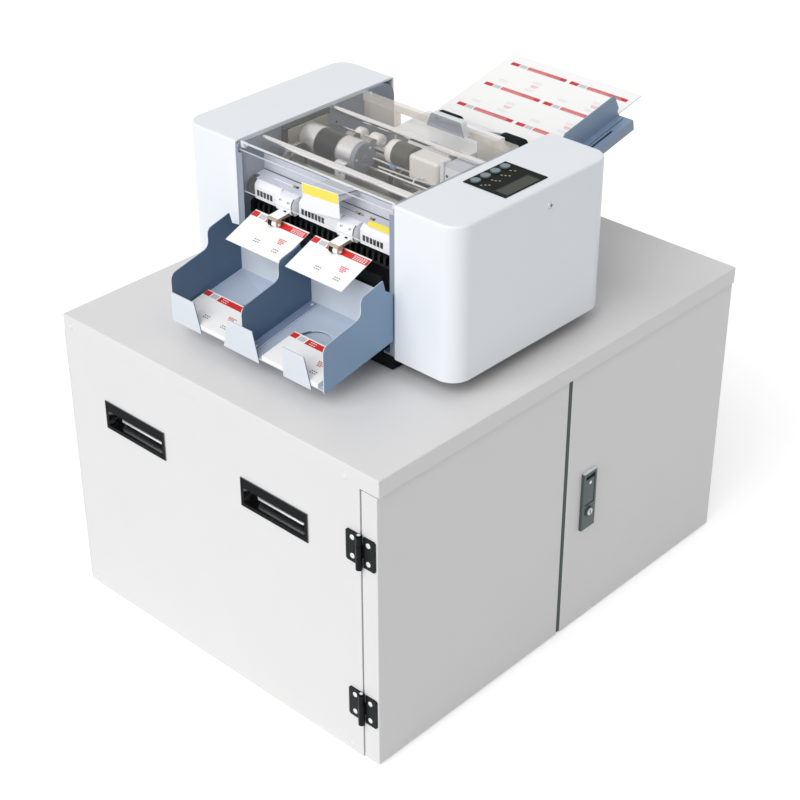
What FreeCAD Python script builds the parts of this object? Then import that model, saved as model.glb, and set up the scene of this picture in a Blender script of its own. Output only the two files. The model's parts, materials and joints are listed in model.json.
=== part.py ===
"""Automatic business card cutter on its two-door steel cabinet, a parametric FreeCAD document.

Frame: +X to the operator's right, +Y to the feed side, +Z up, origin on the floor under the
middle of the cabinet.  All sizes are millimetres and live in the spreadsheet "Sizes".
"""
import FreeCAD, Part
import Sketcher
import math
import os
import re

Vec = FreeCAD.Vector

SIZES = [
    # cabinet
    ("cab_x", 530, "cabinet width, doors to back"),
    ("cab_y", 656, "cabinet length, front panel to rear panel"),
    ("cab_z", 402, "cabinet height"),
    ("cab_t", 1.5, "cabinet sheet thickness"),
    ("lip_h", 22, "skirt of the cabinet top"),
    ("lip_over", 3, "skirt in front of the doors"),
    ("cab_return", 20, "return flange of the cabinet panels"),
    ("door_t", 24, "door thickness"),
    ("door_gap", 1.5, "gap round the doors"),
    ("door_split", 3.2, "gap between the two doors"),
    ("door_rise", 3, "doors above the floor"),
    ("door_lip", 15, "inner return lip of a door"),
    ("sill_h", 18, "sill behind the doors"),
    # carry handles
    ("grip_w", 109, "carry handle width"),
    ("grip_h", 39, "carry handle height"),
    ("grip_deep", 24, "carry handle depth in the panel"),
    ("grip_rim", 3, "rim of the handle over the cut-out"),
    ("grip_lip_t", 1.5, "thickness of the rim"),
    ("grip_z", 288, "height of the carry handles"),
    ("grip_mid", -20, "middle of the two handles along X"),
    ("grip_pitch", 242, "distance of the two handles"),
    # hinges
    ("leaf_w", 22, "hinge leaf width from the pin"),
    ("leaf_h", 41, "hinge leaf height"),
    ("leaf_thick", 2, "hinge leaf thickness"),
    ("barrel_rad", 4, "hinge barrel radius"),
    ("pin_rad", 2, "hinge pin radius"),
    ("run_fit", 0.05, "radial clearance of pins and journals"),
    ("hinge_low", 77, "height of the lower hinges"),
    ("hinge_high", 300, "height of the upper hinges"),
    ("knuckle_half", 8, "half height of the middle knuckle"),
    # lock
    ("lock_w", 26, "lock plate width"),
    ("lock_h", 84, "lock plate height"),
    ("lock_t", 4.5, "lock plate thickness"),
    ("lock_edge", 31, "lock plate from the middle of the doors"),
    ("lock_z", 189, "height of the lock plate's middle"),
    ("cam_reach", 52, "length of the lock cam"),
    ("key_rad", 7, "lock cylinder radius"),
    # machine casing
    ("mach_gap", 18.5, "housings above the cabinet top"),
    ("mach_front", -157, "front face of the housings"),
    ("hous_y", 270, "housing length"),
    ("hous_x", 91, "housing width"),
    ("hous_z", 193.7, "housing height"),
    ("hous_t", 2.5, "housing wall"),
    ("hous_rad", 25, "upright corner radius of the housings"),
    ("hous_edge", 3, "edge radius of the housing tops"),
    ("inner_w", 255, "clear width between the housings"),
    ("frame_t", 3, "side frame thickness"),
    ("frame_drop", 2.5, "side frame top below the housing top"),
    ("frame_foot", 18, "foot flange of a side frame"),
    ("base_x", 244, "chassis width"),
    ("base_t", 1.5, "chassis sheet"),
    ("foot_rad", 11, "rubber foot radius"),
    ("foot_show", 2, "rubber foot below the chassis"),
    ("apron_h", 98, "front apron height over the chassis"),
    # paper path
    ("paper_h", 133, "paper path above the cabinet top"),
    ("deck_t", 1.2, "paper deck sheet"),
    ("col_left", -54.5, "middle of the left card column"),
    ("col_pitch", 100, "pitch of the card columns"),
    ("card_w", 90, "card width"),
    ("card_d", 54, "card depth"),
    ("card_t", 0.5, "thickness of one card as a solid"),
    # drive
    ("gear_module", 1.5, "module of every gear"),
    ("gear_w", 8, "gear face width"),
    ("gear_out", 4, "gears outside the side frame"),
    ("backlash", 0.2, "tooth backlash at the pitch circle"),
    ("journal_rad", 5, "journal radius"),
    ("motor_y", -48, "main motor axis, Y"),
    ("motor_up", 186, "main motor axis above the cabinet top"),
    ("motor_rad", 19, "main motor radius"),
    ("motor_len", 91, "main motor length"),
    ("motor_teeth", 14, "main pinion teeth"),
    ("crank_teeth", 44, "crank gear teeth"),
    ("crank_y", -88, "knife crank axis, Y"),
    ("throw", 4, "crank throw"),
    ("disc_rad", 11, "eccentric radius"),
    ("yoke_x", 98, "middle of the yokes along X"),
    ("yoke_t", 6, "yoke thickness"),
    ("knife_travel", 6, "travel of the moving knife"),
    ("feed_motor_y", -14, "feed motor axis, Y"),
    ("feed_motor_up", 183, "feed motor axis above the cabinet top"),
    ("feed_motor_rad", 15, "feed motor radius"),
    ("feed_pinion_teeth", 25, "feed pinion teeth"),
    ("slit_teeth", 21, "slitter gear teeth"),
    ("slit_y", -9.9, "slitter shafts, Y"),
    ("blade_rad", 16, "slitter blade radius"),
    ("blade_t", 2, "slitter blade thickness"),
    ("feed_teeth", 16, "feed shaft gear teeth"),
    ("feed_y", 28, "feed shafts, Y"),
    ("nip_gap", 0.3, "gap of the feed nip"),
    ("idler_teeth", 12, "idler gear teeth"),
    ("pick_y", 133, "pick-up shaft, Y"),
    ("pick_rad", 14, "pick-up roller radius"),
    ("pick_x", 52, "middle of the pick-up rollers along X"),
    ("pick_w", 29, "pick-up roller width"),
    ("arm_w", 122, "pick-up cover width"),
    ("arm_core", 66, "pick-up arm width at its shafts"),
    ("arm_front", 44, "front edge of the pick-up cover"),
    ("arm_rear", 106, "rear edge of the pick-up cover"),
    # rods and cover
    ("rod_rad", 4, "cross rod radius"),
    ("rod_front_y", -115, "front cross rod"),
    ("rod_rear_y", 4, "rear cross rod"),
    ("rod_drop", 8.2, "cross rods below the housing top"),
    ("cover_t", 3, "clear cover sheet"),
    ("cover_rear", 57, "rear edge of the clear cover"),
    ("cover_side", 0.6, "clear cover clear of the side frames"),
    ("cover_skirt", 12, "rear skirt of the clear cover"),
    ("window_h", 52, "height of the front window"),
    # control panel
    ("panel_x", 142, "control panel, inner edge"),
    ("panel_y", -61, "control panel, front edge"),
    ("panel_w", 62, "control panel width"),
    ("panel_len", 73, "control panel length"),
    ("panel_deep", 8, "control panel depth"),
    ("button_rad", 6.2, "push button radius"),
    ("button_pitch", 17, "push button pitch"),
    ("button_in", 9.3, "push buttons from the inner edge"),
    ("button_travel", 1, "push button travel"),
    # catch tray
    ("tray_side", 1.5, "catch tray clear of the housings"),
    ("tray_front", -269, "front face of the tray"),
    ("tray_t", 1.2, "tray sheet"),
    ("tray_angle", 10.7, "slope of the tray floor"),
    ("tray_up", 47, "rear of the tray floor above the cabinet top"),
    ("thumb_rad", 25, "thumb hole radius"),
    ("lip_top", 58, "top of the tray lips above the cabinet top"),
    # feed table and stock
    ("table_over", 0.5, "feed table past the inner faces of the housings"),
    ("table_angle", 12, "slope of the feed table"),
    ("table_len", 165, "feed table length along the slope"),
    ("table_up", 142.5, "front of the feed table above the cabinet top"),
    ("table_flange", 14, "side flange of the feed table"),
    ("page_half", 105, "sheet half width"),
    ("page_t", 2, "thickness of the sheet pile"),
    ("guide_h", 33, "side guide height"),
]

doc = FreeCAD.newDocument("business_card_cutter")
sheet = doc.addObject("Spreadsheet::Sheet", "Sizes")
for row, (alias, number, meaning) in enumerate(SIZES, 1):
    sheet.set(f"A{row}", meaning)
    sheet.set(f"B{row}", str(number))
    sheet.setAlias(f"B{row}", alias)
doc.recompute()
ALIASES = {alias for alias, _, _ in SIZES}

nodes = {}


# ------------------------------------------------------------------ expression helpers
def cell(text):
    """Expression text with every size name turned into its spreadsheet cell."""
    return re.sub(r"[A-Za-z_]\w*",
                  lambda word: "Sizes." + word.group(0) if word.group(0) in ALIASES else word.group(0),
                  str(text))


def num(text):
    """Number that an expression gives now."""
    return float(sheet.evalExpression(cell(text)))


def bind(thing, **sizes):
    """Bind properties of an object to expressions; two underscores stand for a dot."""
    for name, text in sizes.items():
        thing.setExpression(name.replace("__", "."), cell(text))


def put(thing, x=0, y=0, z=0):
    bind(thing, Placement__Base__x=x, Placement__Base__y=y, Placement__Base__z=z)
    return thing


def node(label, thing):
    """Register a finished sub-part; its label names its file."""
    thing.Label = label
    nodes[label] = thing
    return thing


# ------------------------------------------------------------------ Part primitives
AXIS_TURN = {"Z": FreeCAD.Rotation(),
             "X": FreeCAD.Rotation(Vec(0, 1, 0), 90),
             "Y": FreeCAD.Rotation(Vec(1, 0, 0), -90)}


def box(x, y, z, length, width, height):
    thing = doc.addObject("Part::Box", "Block")
    bind(thing, Length=length, Width=width, Height=height)
    return put(thing, x, y, z)


def rod(axis, x, y, z, radius, length):
    thing = doc.addObject("Part::Cylinder", "Round")
    thing.Placement = FreeCAD.Placement(Vec(), AXIS_TURN[axis])
    bind(thing, Radius=radius, Height=length)
    return put(thing, x, y, z)


def fuse(*things):
    joined = doc.addObject("Part::MultiFuse", "Joined")
    joined.Shapes = list(things)
    joined.Refine = True
    return joined


def cut(base, *tools):
    thing = doc.addObject("Part::Cut", "Trimmed")
    thing.Base = base
    thing.Tool = tools[0] if len(tools) == 1 else fuse(*tools)
    return thing


def gather(*things):
    """Separate solids that share one node."""
    group = doc.addObject("Part::Compound", "Group")
    group.Links = list(things)
    return group


def mirror(thing, normal):
    image = doc.addObject("Part::Mirroring", "Mirrored")
    image.Source = thing
    image.Normal = normal
    return image


# ------------------------------------------------------------------ sketch shapes
def rect(x, y, width, height):
    """Rectangle with its lower left corner and both sides bound to expressions."""
    def draw(sketch):
        x0, y0, w, h = num(x), num(y), num(width), num(height)
        corners = [Vec(x0, y0), Vec(x0 + w, y0), Vec(x0 + w, y0 + h), Vec(x0, y0 + h)]
        first = sketch.GeometryCount
        for k in range(4):
            sketch.addGeometry(Part.LineSegment(corners[k], corners[(k + 1) % 4]), False)
        for k in range(4):
            sketch.addConstraint(Sketcher.Constraint("Coincident", first + k, 2, first + (k + 1) % 4, 1))
        for k, kind in enumerate(("Horizontal", "Vertical") * 2):
            sketch.addConstraint(Sketcher.Constraint(kind, first + k))
        for kind, place, text in (("DistanceX", (-1, 1, first, 1), x), ("DistanceY", (-1, 1, first, 1), y),
                                  ("DistanceX", (first, 1, first, 2), width),
                                  ("DistanceY", (first + 1, 1, first + 1, 2), height)):
            number = sketch.addConstraint(Sketcher.Constraint(kind, *place, num(text)))
            sketch.setExpression(f"Constraints[{number}]", cell(text))
    return draw


def circle(x, y, radius):
    """Circle with its centre and radius bound to expressions."""
    def draw(sketch):
        first = sketch.addGeometry(Part.Circle(Vec(num(x), num(y)), Vec(0, 0, 1), num(radius)), False)
        for kind, place, text in (("DistanceX", (-1, 1, first, 3), x), ("DistanceY", (-1, 1, first, 3), y),
                                  ("Radius", (first,), radius)):
            number = sketch.addConstraint(Sketcher.Constraint(kind, *place, num(text)))
            sketch.setExpression(f"Constraints[{number}]", cell(text))
    return draw


def outline(*points):
    """Closed outline of (x, y) or (x, y, corner radius), each an expression."""
    corners = [[num(value) for value in point] for point in points]

    def rounded(before, here, after):
        """Ends and middle of the arc that rounds one corner."""
        to_before = (Vec(*before[:2]) - Vec(*here[:2])).normalize()
        to_after = (Vec(*after[:2]) - Vec(*here[:2])).normalize()
        half = to_before.getAngle(to_after) / 2
        back = here[2] / math.tan(half)
        corner = Vec(*here[:2])
        inward = (to_before + to_after).normalize()
        depth = here[2] / math.sin(half) - here[2]
        return corner + to_before * back, corner + inward * depth, corner + to_after * back

    def draw(sketch):
        ends = []
        for k, here in enumerate(corners):
            if len(here) == 3 and here[2] > 0:
                start, middle, stop = rounded(corners[k - 1], here, corners[(k + 1) % len(corners)])
                sketch.addGeometry(Part.Arc(start, middle, stop), False)
                ends.append((start, stop))
            else:
                ends.append((Vec(*here[:2]), Vec(*here[:2])))
        for k, (_, stop) in enumerate(ends):
            start = ends[(k + 1) % len(ends)][0]
            if start.distanceToPoint(stop) > 1e-6:
                sketch.addGeometry(Part.LineSegment(stop, start), False)
    return draw


# ------------------------------------------------------------------ PartDesign bodies
class Piece:
    """One sub-part made as a PartDesign body."""

    def __init__(self, name):
        self.body = doc.addObject("PartDesign::Body", name)

    def datum(self, role):
        return next(item for item in self.body.Origin.OriginFeatures if item.Role == role)

    def sketch(self, plane, at, shapes):
        sketch = self.body.newObject("Sketcher::SketchObject", "Sketch")
        sketch.AttachmentSupport = [(self.datum(plane + "_Plane"), "")]
        sketch.MapMode = "FlatFace"
        bind(sketch, AttachmentOffset__Base__z=at)
        for draw in shapes:
            draw(sketch)
        return sketch

    def feature(self, kind, plane, at, length, shapes, reverse):
        feature = self.body.newObject("PartDesign::" + kind, kind)
        feature.Profile = self.sketch(plane, at, shapes)
        bind(feature, Length=length)
        feature.Reversed = reverse
        self.body.Tip = feature
        return feature

    def pad(self, plane, at, length, *shapes, reverse=False):
        return self.feature("Pad", plane, at, length, shapes, reverse)

    def pocket(self, plane, at, length, *shapes, reverse=False):
        """Pocket against the plane's normal, or along it when reversed."""
        return self.feature("Pocket", plane, at, length, shapes, reverse)

    def revolve(self, plane, axis, *shapes):
        feature = self.body.newObject("PartDesign::Revolution", "Revolution")
        feature.Profile = self.sketch(plane, 0, shapes)
        feature.ReferenceAxis = (self.datum(axis + "_Axis"), [""])
        feature.Angle = 360
        self.body.Tip = feature
        return feature

    def ring(self, feature, count):
        """Polar pattern about the body's X axis."""
        pattern = self.body.newObject("PartDesign::PolarPattern", "Ring")
        pattern.Originals = [feature]
        pattern.Axis = (self.datum("X_Axis"), [""])
        pattern.Angle = 360
        bind(pattern, Occurrences=count)
        self.body.Tip = pattern
        return pattern

    def row(self, feature, axis, length, count):
        pattern = self.body.newObject("PartDesign::LinearPattern", "Row")
        pattern.Originals = [feature]
        pattern.Direction = (self.datum(axis + "_Axis"), [""])
        bind(pattern, Length=length, Occurrences=count)
        self.body.Tip = pattern
        return pattern

    def fillet(self, radius, chosen, kind="Fillet"):
        """Fillet or chamfer of the edges whose middle the test picks."""
        doc.recompute()
        tip = self.body.Tip
        names = [f"Edge{k}" for k, edge in enumerate(tip.Shape.Edges, 1) if chosen(edge)]
        feature = self.body.newObject("PartDesign::" + kind, kind)
        feature.Base = (tip, names)
        bind(feature, **{"Radius" if kind == "Fillet" else "Size": radius})
        self.body.Tip = feature
        return feature

    def at(self, x=0, y=0, z=0):
        put(self.body, x, y, z)
        return self


def upright(edge):
    """True for a straight vertical edge."""
    box_ = edge.BoundBox
    return box_.XLength < 1e-3 and box_.YLength < 1e-3 and box_.ZLength > 1


def level_at(height):
    """Test for edges that lie wholly at one height."""
    return lambda edge: abs(edge.BoundBox.ZMin - height) < 1e-3 and abs(edge.BoundBox.ZMax - height) < 1e-3


# ------------------------------------------------------------------ shared places
DECK = "cab_z"
SEAM = "(cab_x/2 - lip_over - door_t)"
DOOR_OUT = "(cab_x/2 - lip_over)"
DOOR_TOP = "(cab_z - lip_h - door_gap)"
CARCASS_TOP = "(cab_z - lip_h)"
HOUS_LOW = "(cab_z + mach_gap)"
HOUS_TOP = "(cab_z + mach_gap + hous_z)"
MACH_REAR = "(mach_front + hous_y)"
FRAME_IN = "(inner_w/2 - frame_t)"
TRAY_HALF = "(inner_w/2 - tray_side)"
TABLE_HALF = "(inner_w/2 + table_over)"
PAPER = "(cab_z + paper_h)"
COLUMNS = ("col_left", "(col_left + col_pitch)")


def pitch_rad(teeth):
    return f"({teeth}*gear_module/2)"


SLIT_RAD = pitch_rad("slit_teeth")
FEED_RAD = pitch_rad("feed_teeth")
MOTOR_Z = "(cab_z + motor_up)"
FEED_MOTOR_Z = "(cab_z + feed_motor_up)"
CRANK_SPAN = f"({pitch_rad('motor_teeth')} + {pitch_rad('crank_teeth')})"
CRANK_Z = f"({MOTOR_Z} - sqrt({CRANK_SPAN}*{CRANK_SPAN} - (motor_y - crank_y)*(motor_y - crank_y)))"
SLIT_UP_Z = f"({PAPER} + {SLIT_RAD})"
SLIT_LOW_Z = f"({PAPER} - {SLIT_RAD})"
FEED_UP_Z = f"({PAPER} + {FEED_RAD})"
FEED_LOW_Z = f"({PAPER} - {FEED_RAD})"


# ------------------------------------------------------------------ cabinet
def cabinet_top():
    top = Piece("cabinet_top")
    top.pad("XY", CARCASS_TOP, "lip_h", rect("-cab_x/2", "-cab_y/2", "cab_x", "cab_y"))
    top.pocket("XY", CARCASS_TOP, "lip_h - cab_t",
               rect("-cab_x/2 + cab_t", "-cab_y/2 + cab_t", "cab_x - 2*cab_t", "cab_y - 2*cab_t"),
               reverse=True)
    half_x, half_y = num("cab_x/2"), num("cab_y/2")
    top.fillet("cab_t", lambda edge: (upright(edge) and abs(abs(edge.CenterOfMass.x) - half_x) < 1e-3
                                      and abs(abs(edge.CenterOfMass.y) - half_y) < 1e-3)
               or level_at(num("cab_z"))(edge))
    node("cabinet_top", top.body)


def cabinet_side(label, side):
    """Front or rear panel: a folded channel with two cut-outs for the carry handles."""
    panel = Piece(label)
    left, right = "(-cab_x/2 + cab_t)", f"({SEAM} - door_gap)"
    face, inner, back = (f"({side}*({text}))" for text in
                         ("cab_y/2", "cab_y/2 - cab_t", "cab_y/2 - cab_t - cab_return"))
    panel.pad("XY", 0, CARCASS_TOP,
              outline((left, face), (right, face), (right, back), (f"{right} - cab_t", back),
                      (f"{right} - cab_t", inner), (f"{left} + cab_t", inner),
                      (f"{left} + cab_t", back), (left, back)))
    cuts = [rect(f"{grip} - grip_w/2 + grip_rim", "grip_z - grip_h/2 + grip_rim",
                 "grip_w - 2*grip_rim", "grip_h - 2*grip_rim") for grip in grip_places()]
    panel.pocket("XZ", f"-({side})*(cab_y/2 - cab_t/2) + 1.5*cab_t", "3*cab_t", *cuts)
    node(label, panel.body)


def grip_places():
    return ("(grip_mid - grip_pitch/2)", "(grip_mid + grip_pitch/2)")


def carry_grip(middle):
    """Recessed carry handle: rim, cup and a scooped finger space under the top band."""
    grip = Piece("carry_grip")
    low = "(grip_z - grip_h/2)"
    grip.pad("XZ", "cab_y/2", "grip_lip_t", rect(f"{middle} - grip_w/2", low, "grip_w", "grip_h"))
    grip.pad("XZ", "cab_y/2 - grip_deep", "grip_deep",
             rect(f"{middle} - grip_w/2 + grip_rim", f"{low} + grip_rim",
                  "grip_w - 2*grip_rim", "grip_h - 2*grip_rim"))
    mouth = "(-cab_y/2 - 2*grip_lip_t)"
    rear = "(-cab_y/2 + grip_deep - 2)"
    scoop = outline((mouth, f"{low} + grip_rim + 2"), (rear, f"{low} + grip_rim + 2", "grip_deep*0.7"),
                    (rear, f"{low} + grip_h - grip_rim - 2", 5),
                    ("-cab_y/2 + 3", f"{low} + grip_h - grip_rim - 2"),
                    ("-cab_y/2 + 3", f"{low} + grip_h*0.66", 1.2), (mouth, f"{low} + grip_h*0.66"))
    grip.pocket("YZ", f"{middle} - grip_w/2 + grip_rim + 2", "grip_w - 2*grip_rim - 4", scoop,
                reverse=True)
    return grip.body


def carry_handles():
    front = gather(*[carry_grip(middle) for middle in grip_places()])
    node("carry_handles_front", front)
    node("carry_handles_rear", mirror(gather(*[carry_grip(middle) for middle in grip_places()]),
                                      Vec(0, 1, 0)))


def cabinet_back():
    node("cabinet_back", box("-cab_x/2", "-cab_y/2", 0, "cab_t", "cab_y", CARCASS_TOP))


def cabinet_bottom():
    """Floor pan whose upturned sill stands behind the doors."""
    pan = Piece("cabinet_bottom")
    left, right = "(-cab_x/2 + 2*cab_t)", f"({SEAM} - door_gap - cab_t)"
    pan.pad("XZ", "-cab_y/2 + cab_t", "cab_y - 2*cab_t",
            outline((left, 0), (right, 0), (right, "sill_h"), (f"{right} - cab_t", "sill_h"),
                    (f"{right} - cab_t", "cab_t"), (left, "cab_t")))
    node("cabinet_bottom", pan.body)


HINGE_HEIGHTS = ("hinge_low", "hinge_high")
HINGE_Y = "(-cab_y/2 - barrel_rad)"
LEAF_Y = "(-cab_y/2 - leaf_thick)"
LEAF_START = "(barrel_rad + 0.5)"


def leaf_plate(middle, side):
    """Plate of a hinge leaf, its two free corners taken off."""
    plate = Piece("leaf")
    near, far = f"({SEAM} + ({side})*{LEAF_START})", f"({SEAM} + ({side})*leaf_w)"
    plate.pad("XZ", "cab_y/2", "leaf_thick",
              outline((near, f"{middle} - leaf_h/2"), (f"{far} - ({side})*2", f"{middle} - leaf_h/2"),
                      (far, f"{middle} - leaf_h/2 + 2"), (far, f"{middle} + leaf_h/2 - 2"),
                      (f"{far} - ({side})*2", f"{middle} + leaf_h/2"), (near, f"{middle} + leaf_h/2")))
    return plate.body


def barrel(low, high, tongue_x):
    """Barrel of a hinge with the tongue that joins it to its leaf."""
    return [rod("Z", SEAM, HINGE_Y, low, "barrel_rad", f"{high} - {low}"),
            box(tongue_x, LEAF_Y, low, LEAF_START, "leaf_thick", f"{high} - {low}")]


def fixed_leaf(middle):
    tongue = f"({SEAM} - {LEAF_START})"
    low = barrel(f"({middle} - leaf_h/2 - 3)", f"({middle} - knuckle_half - 0.2)", tongue)
    high = barrel(f"({middle} + knuckle_half + 0.2)", f"({middle} + leaf_h/2)", tongue)
    pin = [rod("Z", SEAM, HINGE_Y, f"{middle} - leaf_h/2 - 3", "pin_rad", "leaf_h + 4"),
           rod("Z", SEAM, HINGE_Y, f"{middle} + leaf_h/2", "pin_rad + 1", 2)]
    return fuse(leaf_plate(middle, "-1"), *low, *high, *pin)


def door_leaf(middle):
    knuckle = barrel(f"({middle} - knuckle_half + 0.1)", f"({middle} + knuckle_half - 0.1)", SEAM)
    bore = rod("Z", SEAM, HINGE_Y, f"{middle} - leaf_h", "pin_rad + run_fit", "2*leaf_h")
    return cut(fuse(leaf_plate(middle, "1"), *knuckle), bore)


def hinges():
    fixed = [fixed_leaf(middle) for middle in HINGE_HEIGHTS]
    mirrored = [mirror(leaf, Vec(0, 1, 0)) for leaf in fixed]
    node("hinge_leaves_fixed", gather(*fixed, *mirrored))
    leaves = gather(*[door_leaf(middle) for middle in HINGE_HEIGHTS])
    node("door_front_hinges", leaves)
    node("door_rear_hinges", mirror(gather(*[door_leaf(middle) for middle in HINGE_HEIGHTS]),
                                    Vec(0, 1, 0)))


DOOR_IN = f"({SEAM} + door_gap/2)"
DOOR_LEN = "(cab_y/2 - door_split/2)"
DOOR_TALL = f"({DOOR_TOP} - door_rise)"


def door_pan(y_low):
    """Folded door: skin, four edges and an inner return lip, open to the inside."""
    skin = box(DOOR_IN, y_low, "door_rise", f"{DOOR_OUT} - {DOOR_IN}", DOOR_LEN, DOOR_TALL)
    hollow = box(f"{DOOR_IN} + cab_t", f"{y_low} + cab_t", "door_rise + cab_t",
                 f"{DOOR_OUT} - {DOOR_IN} - 2*cab_t", f"{DOOR_LEN} - 2*cab_t", f"{DOOR_TALL} - 2*cab_t")
    mouth = box(f"{DOOR_IN} - 1", f"{y_low} + door_lip", "door_rise + door_lip", "1 + 2*cab_t",
                f"{DOOR_LEN} - 2*door_lip", f"{DOOR_TALL} - 2*door_lip")
    return cut(skin, hollow, mouth)


LOCK_MID = "(lock_edge + lock_w/2)"
KEY_Z = "(lock_z - lock_h/2 + 25)"
PULL_AT = (f"({DOOR_OUT} + 2.9)", "(lock_z + lock_h/2 - 12)")


def doors():
    node("door_front", door_pan("-cab_y/2"))
    keyhole = rod("X", f"{DOOR_OUT} - 2*cab_t", LOCK_MID, KEY_Z, "key_rad + run_fit", "4*cab_t")
    node("door_rear", cut(door_pan("door_split/2"), keyhole))


def lock():
    """Surface lock: plate with a finger recess, swinging pull and key cylinder with cam."""
    plate = Piece("lock_plate")
    y_low, z_low = "lock_edge", "(lock_z - lock_h/2)"
    plate.pad("YZ", DOOR_OUT, "lock_t", rect(y_low, z_low, "lock_w", "lock_h"))
    plate.fillet(1.2, lambda edge: abs(edge.BoundBox.XMin - num(f"{DOOR_OUT} + lock_t")) < 1e-3)
    plate.pocket("YZ", f"{DOOR_OUT} + lock_t", "lock_t - 1",
                 rect(f"{y_low} + 4", f"{z_low} + 36", "lock_w - 8", "lock_h - 40"))
    plate.pocket("YZ", f"{DOOR_OUT} + lock_t", "lock_t", circle(LOCK_MID, KEY_Z, "key_rad + run_fit"))
    plate.pad("XZ", f"-({y_low}) - lock_w + 3.5", "lock_w - 7", circle(*PULL_AT, "0.7"))
    node("lock_plate", plate.body)

    pull = Piece("lock_pull")
    pull.pad("YZ", f"{PULL_AT[0]} - 1.2", 2.4, rect(f"{y_low} + 4.4", f"{z_low} + 36.6", "lock_w - 8.8",
                                                    f"{PULL_AT[1]} + 1.3 - ({z_low} + 36.6)"))
    pull.fillet(0.9, lambda edge: abs(edge.BoundBox.XMin - num(f"{PULL_AT[0]} + 1.2")) < 1e-3)
    pull.pocket("XZ", f"-({y_low})", "lock_w", circle(*PULL_AT, "0.7 + run_fit"))
    node("lock_pull", pull.body)

    cylinder = Piece("lock_cylinder")
    tail = f"({SEAM} - 2)"
    cylinder.pad("YZ", f"{DOOR_OUT} - 3", "lock_t + 5", circle(LOCK_MID, KEY_Z, "key_rad"))
    cylinder.pad("YZ", tail, f"{DOOR_OUT} - 3 - {tail}", circle(LOCK_MID, KEY_Z, "key_rad - 3"))
    cylinder.pad("YZ", tail, 2.5,
                 outline((f"{LOCK_MID} - 7", f"{KEY_Z} - cam_reach", 5),
                         (f"{LOCK_MID} + 7", f"{KEY_Z} - cam_reach", 5),
                         (f"{LOCK_MID} + 7", f"{KEY_Z} + 7", 5), (f"{LOCK_MID} - 7", f"{KEY_Z} + 7", 5)))
    cylinder.pocket("YZ", f"{DOOR_OUT} + lock_t + 2", 3,
                    rect(f"{LOCK_MID} - 0.6", f"{KEY_Z} - 3.5", 1.2, 7))
    node("lock_cylinder", cylinder.body)


# ------------------------------------------------------------------ casing of the machine
def base_chassis():
    """Black sheet base under the side frames, with the apron that carries the tray."""
    base = Piece("base_chassis")
    low = f"({DECK} + foot_show)"
    front, depth = "(mach_front + 2)", "(hous_y - 4)"
    base.pad("XY", low, f"{HOUS_LOW} - {low}", rect("-base_x/2", front, "base_x", depth))
    base.pocket("XY", low, f"{HOUS_LOW} - {low} - base_t",
                rect("-base_x/2 + base_t", f"{front} + base_t", "base_x - 2*base_t", f"{depth} - 2*base_t"),
                reverse=True)
    base.pad("XZ", f"-({front}) - base_t", "base_t",
             rect(f"-({FRAME_IN}) + frame_foot + 1", HOUS_LOW, f"2*{FRAME_IN} - 2*frame_foot - 2", "apron_h"))
    node("base_chassis", base.body)

    inset = "(base_x/2 - 20)"
    feet = [rod("Z", f"{side}*{inset}", y, DECK, "foot_rad", f"{HOUS_LOW} - base_t - {DECK}")
            for side in ("-1", "1") for y in ("mach_front + 22", f"{MACH_REAR} - 22")]
    node("rubber_feet", gather(*feet))


def side_frame(label, side, holes):
    """Bearing plate with a foot flange and a front return."""
    frame = Piece(label)
    front, rear = "(mach_front + 1.5)", f"({MACH_REAR} - 2)"
    top = f"({HOUS_TOP} - frame_drop)"
    inner = FRAME_IN if side == "1" else "(-inner_w/2)"
    frame.pad("YZ", inner, "frame_t",
              outline((front, HOUS_LOW), (rear, HOUS_LOW), (rear, top, 22), (front, top, 6)))
    foot_x = f"({FRAME_IN} - frame_foot)" if side == "1" else f"(-({FRAME_IN}))"
    frame.pad("XY", HOUS_LOW, "frame_t", rect(foot_x, f"{front} + 2", "frame_foot", "hous_y - 8"))
    lip_x = f"({FRAME_IN} - 6)" if side == "1" else f"(-({FRAME_IN}))"
    frame.pad("XZ", f"-({front}) - 1.2", 1.2,
              rect(lip_x, f"{HOUS_LOW} + frame_t", 6, "hous_z - frame_t - 14"))
    frame.pocket("YZ", f"{inner} + frame_t", "frame_t",
                 *[circle(y, z, f"{radius} + run_fit") for y, z, radius in holes])
    return frame


def cover_pin(side):
    """Hinge pin of the clear cover, standing inwards from a side frame."""
    start = f"({FRAME_IN} - 4)" if side == "1" else f"(-({FRAME_IN}))"
    return start


def side_frames():
    shared = [("crank_y", CRANK_Z, "journal_rad"), ("slit_y", SLIT_UP_Z, "journal_rad"),
              ("slit_y", SLIT_LOW_Z, "journal_rad"), ("feed_y", FEED_UP_Z, "journal_rad"),
              ("feed_y", FEED_LOW_Z, "journal_rad")]
    left = side_frame("side_frame_left", "-1", shared + [("motor_y", MOTOR_Z, "4")])
    right = side_frame("side_frame_right", "1",
                       shared + [("feed_motor_y", FEED_MOTOR_Z, "3"), (*IDLER_PLACE, "3")])
    for frame, side in ((left, "-1"), (right, "1")):
        frame.pad("YZ", cover_pin(side), 4, circle(COVER_PIN_Y, COVER_PIN_Z, 2))
        node(frame.body.Name, frame.body)


COVER_PIN_Y = "(mach_front + 8)"
COVER_PIN_Z = f"({HOUS_TOP} - 6)"


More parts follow.
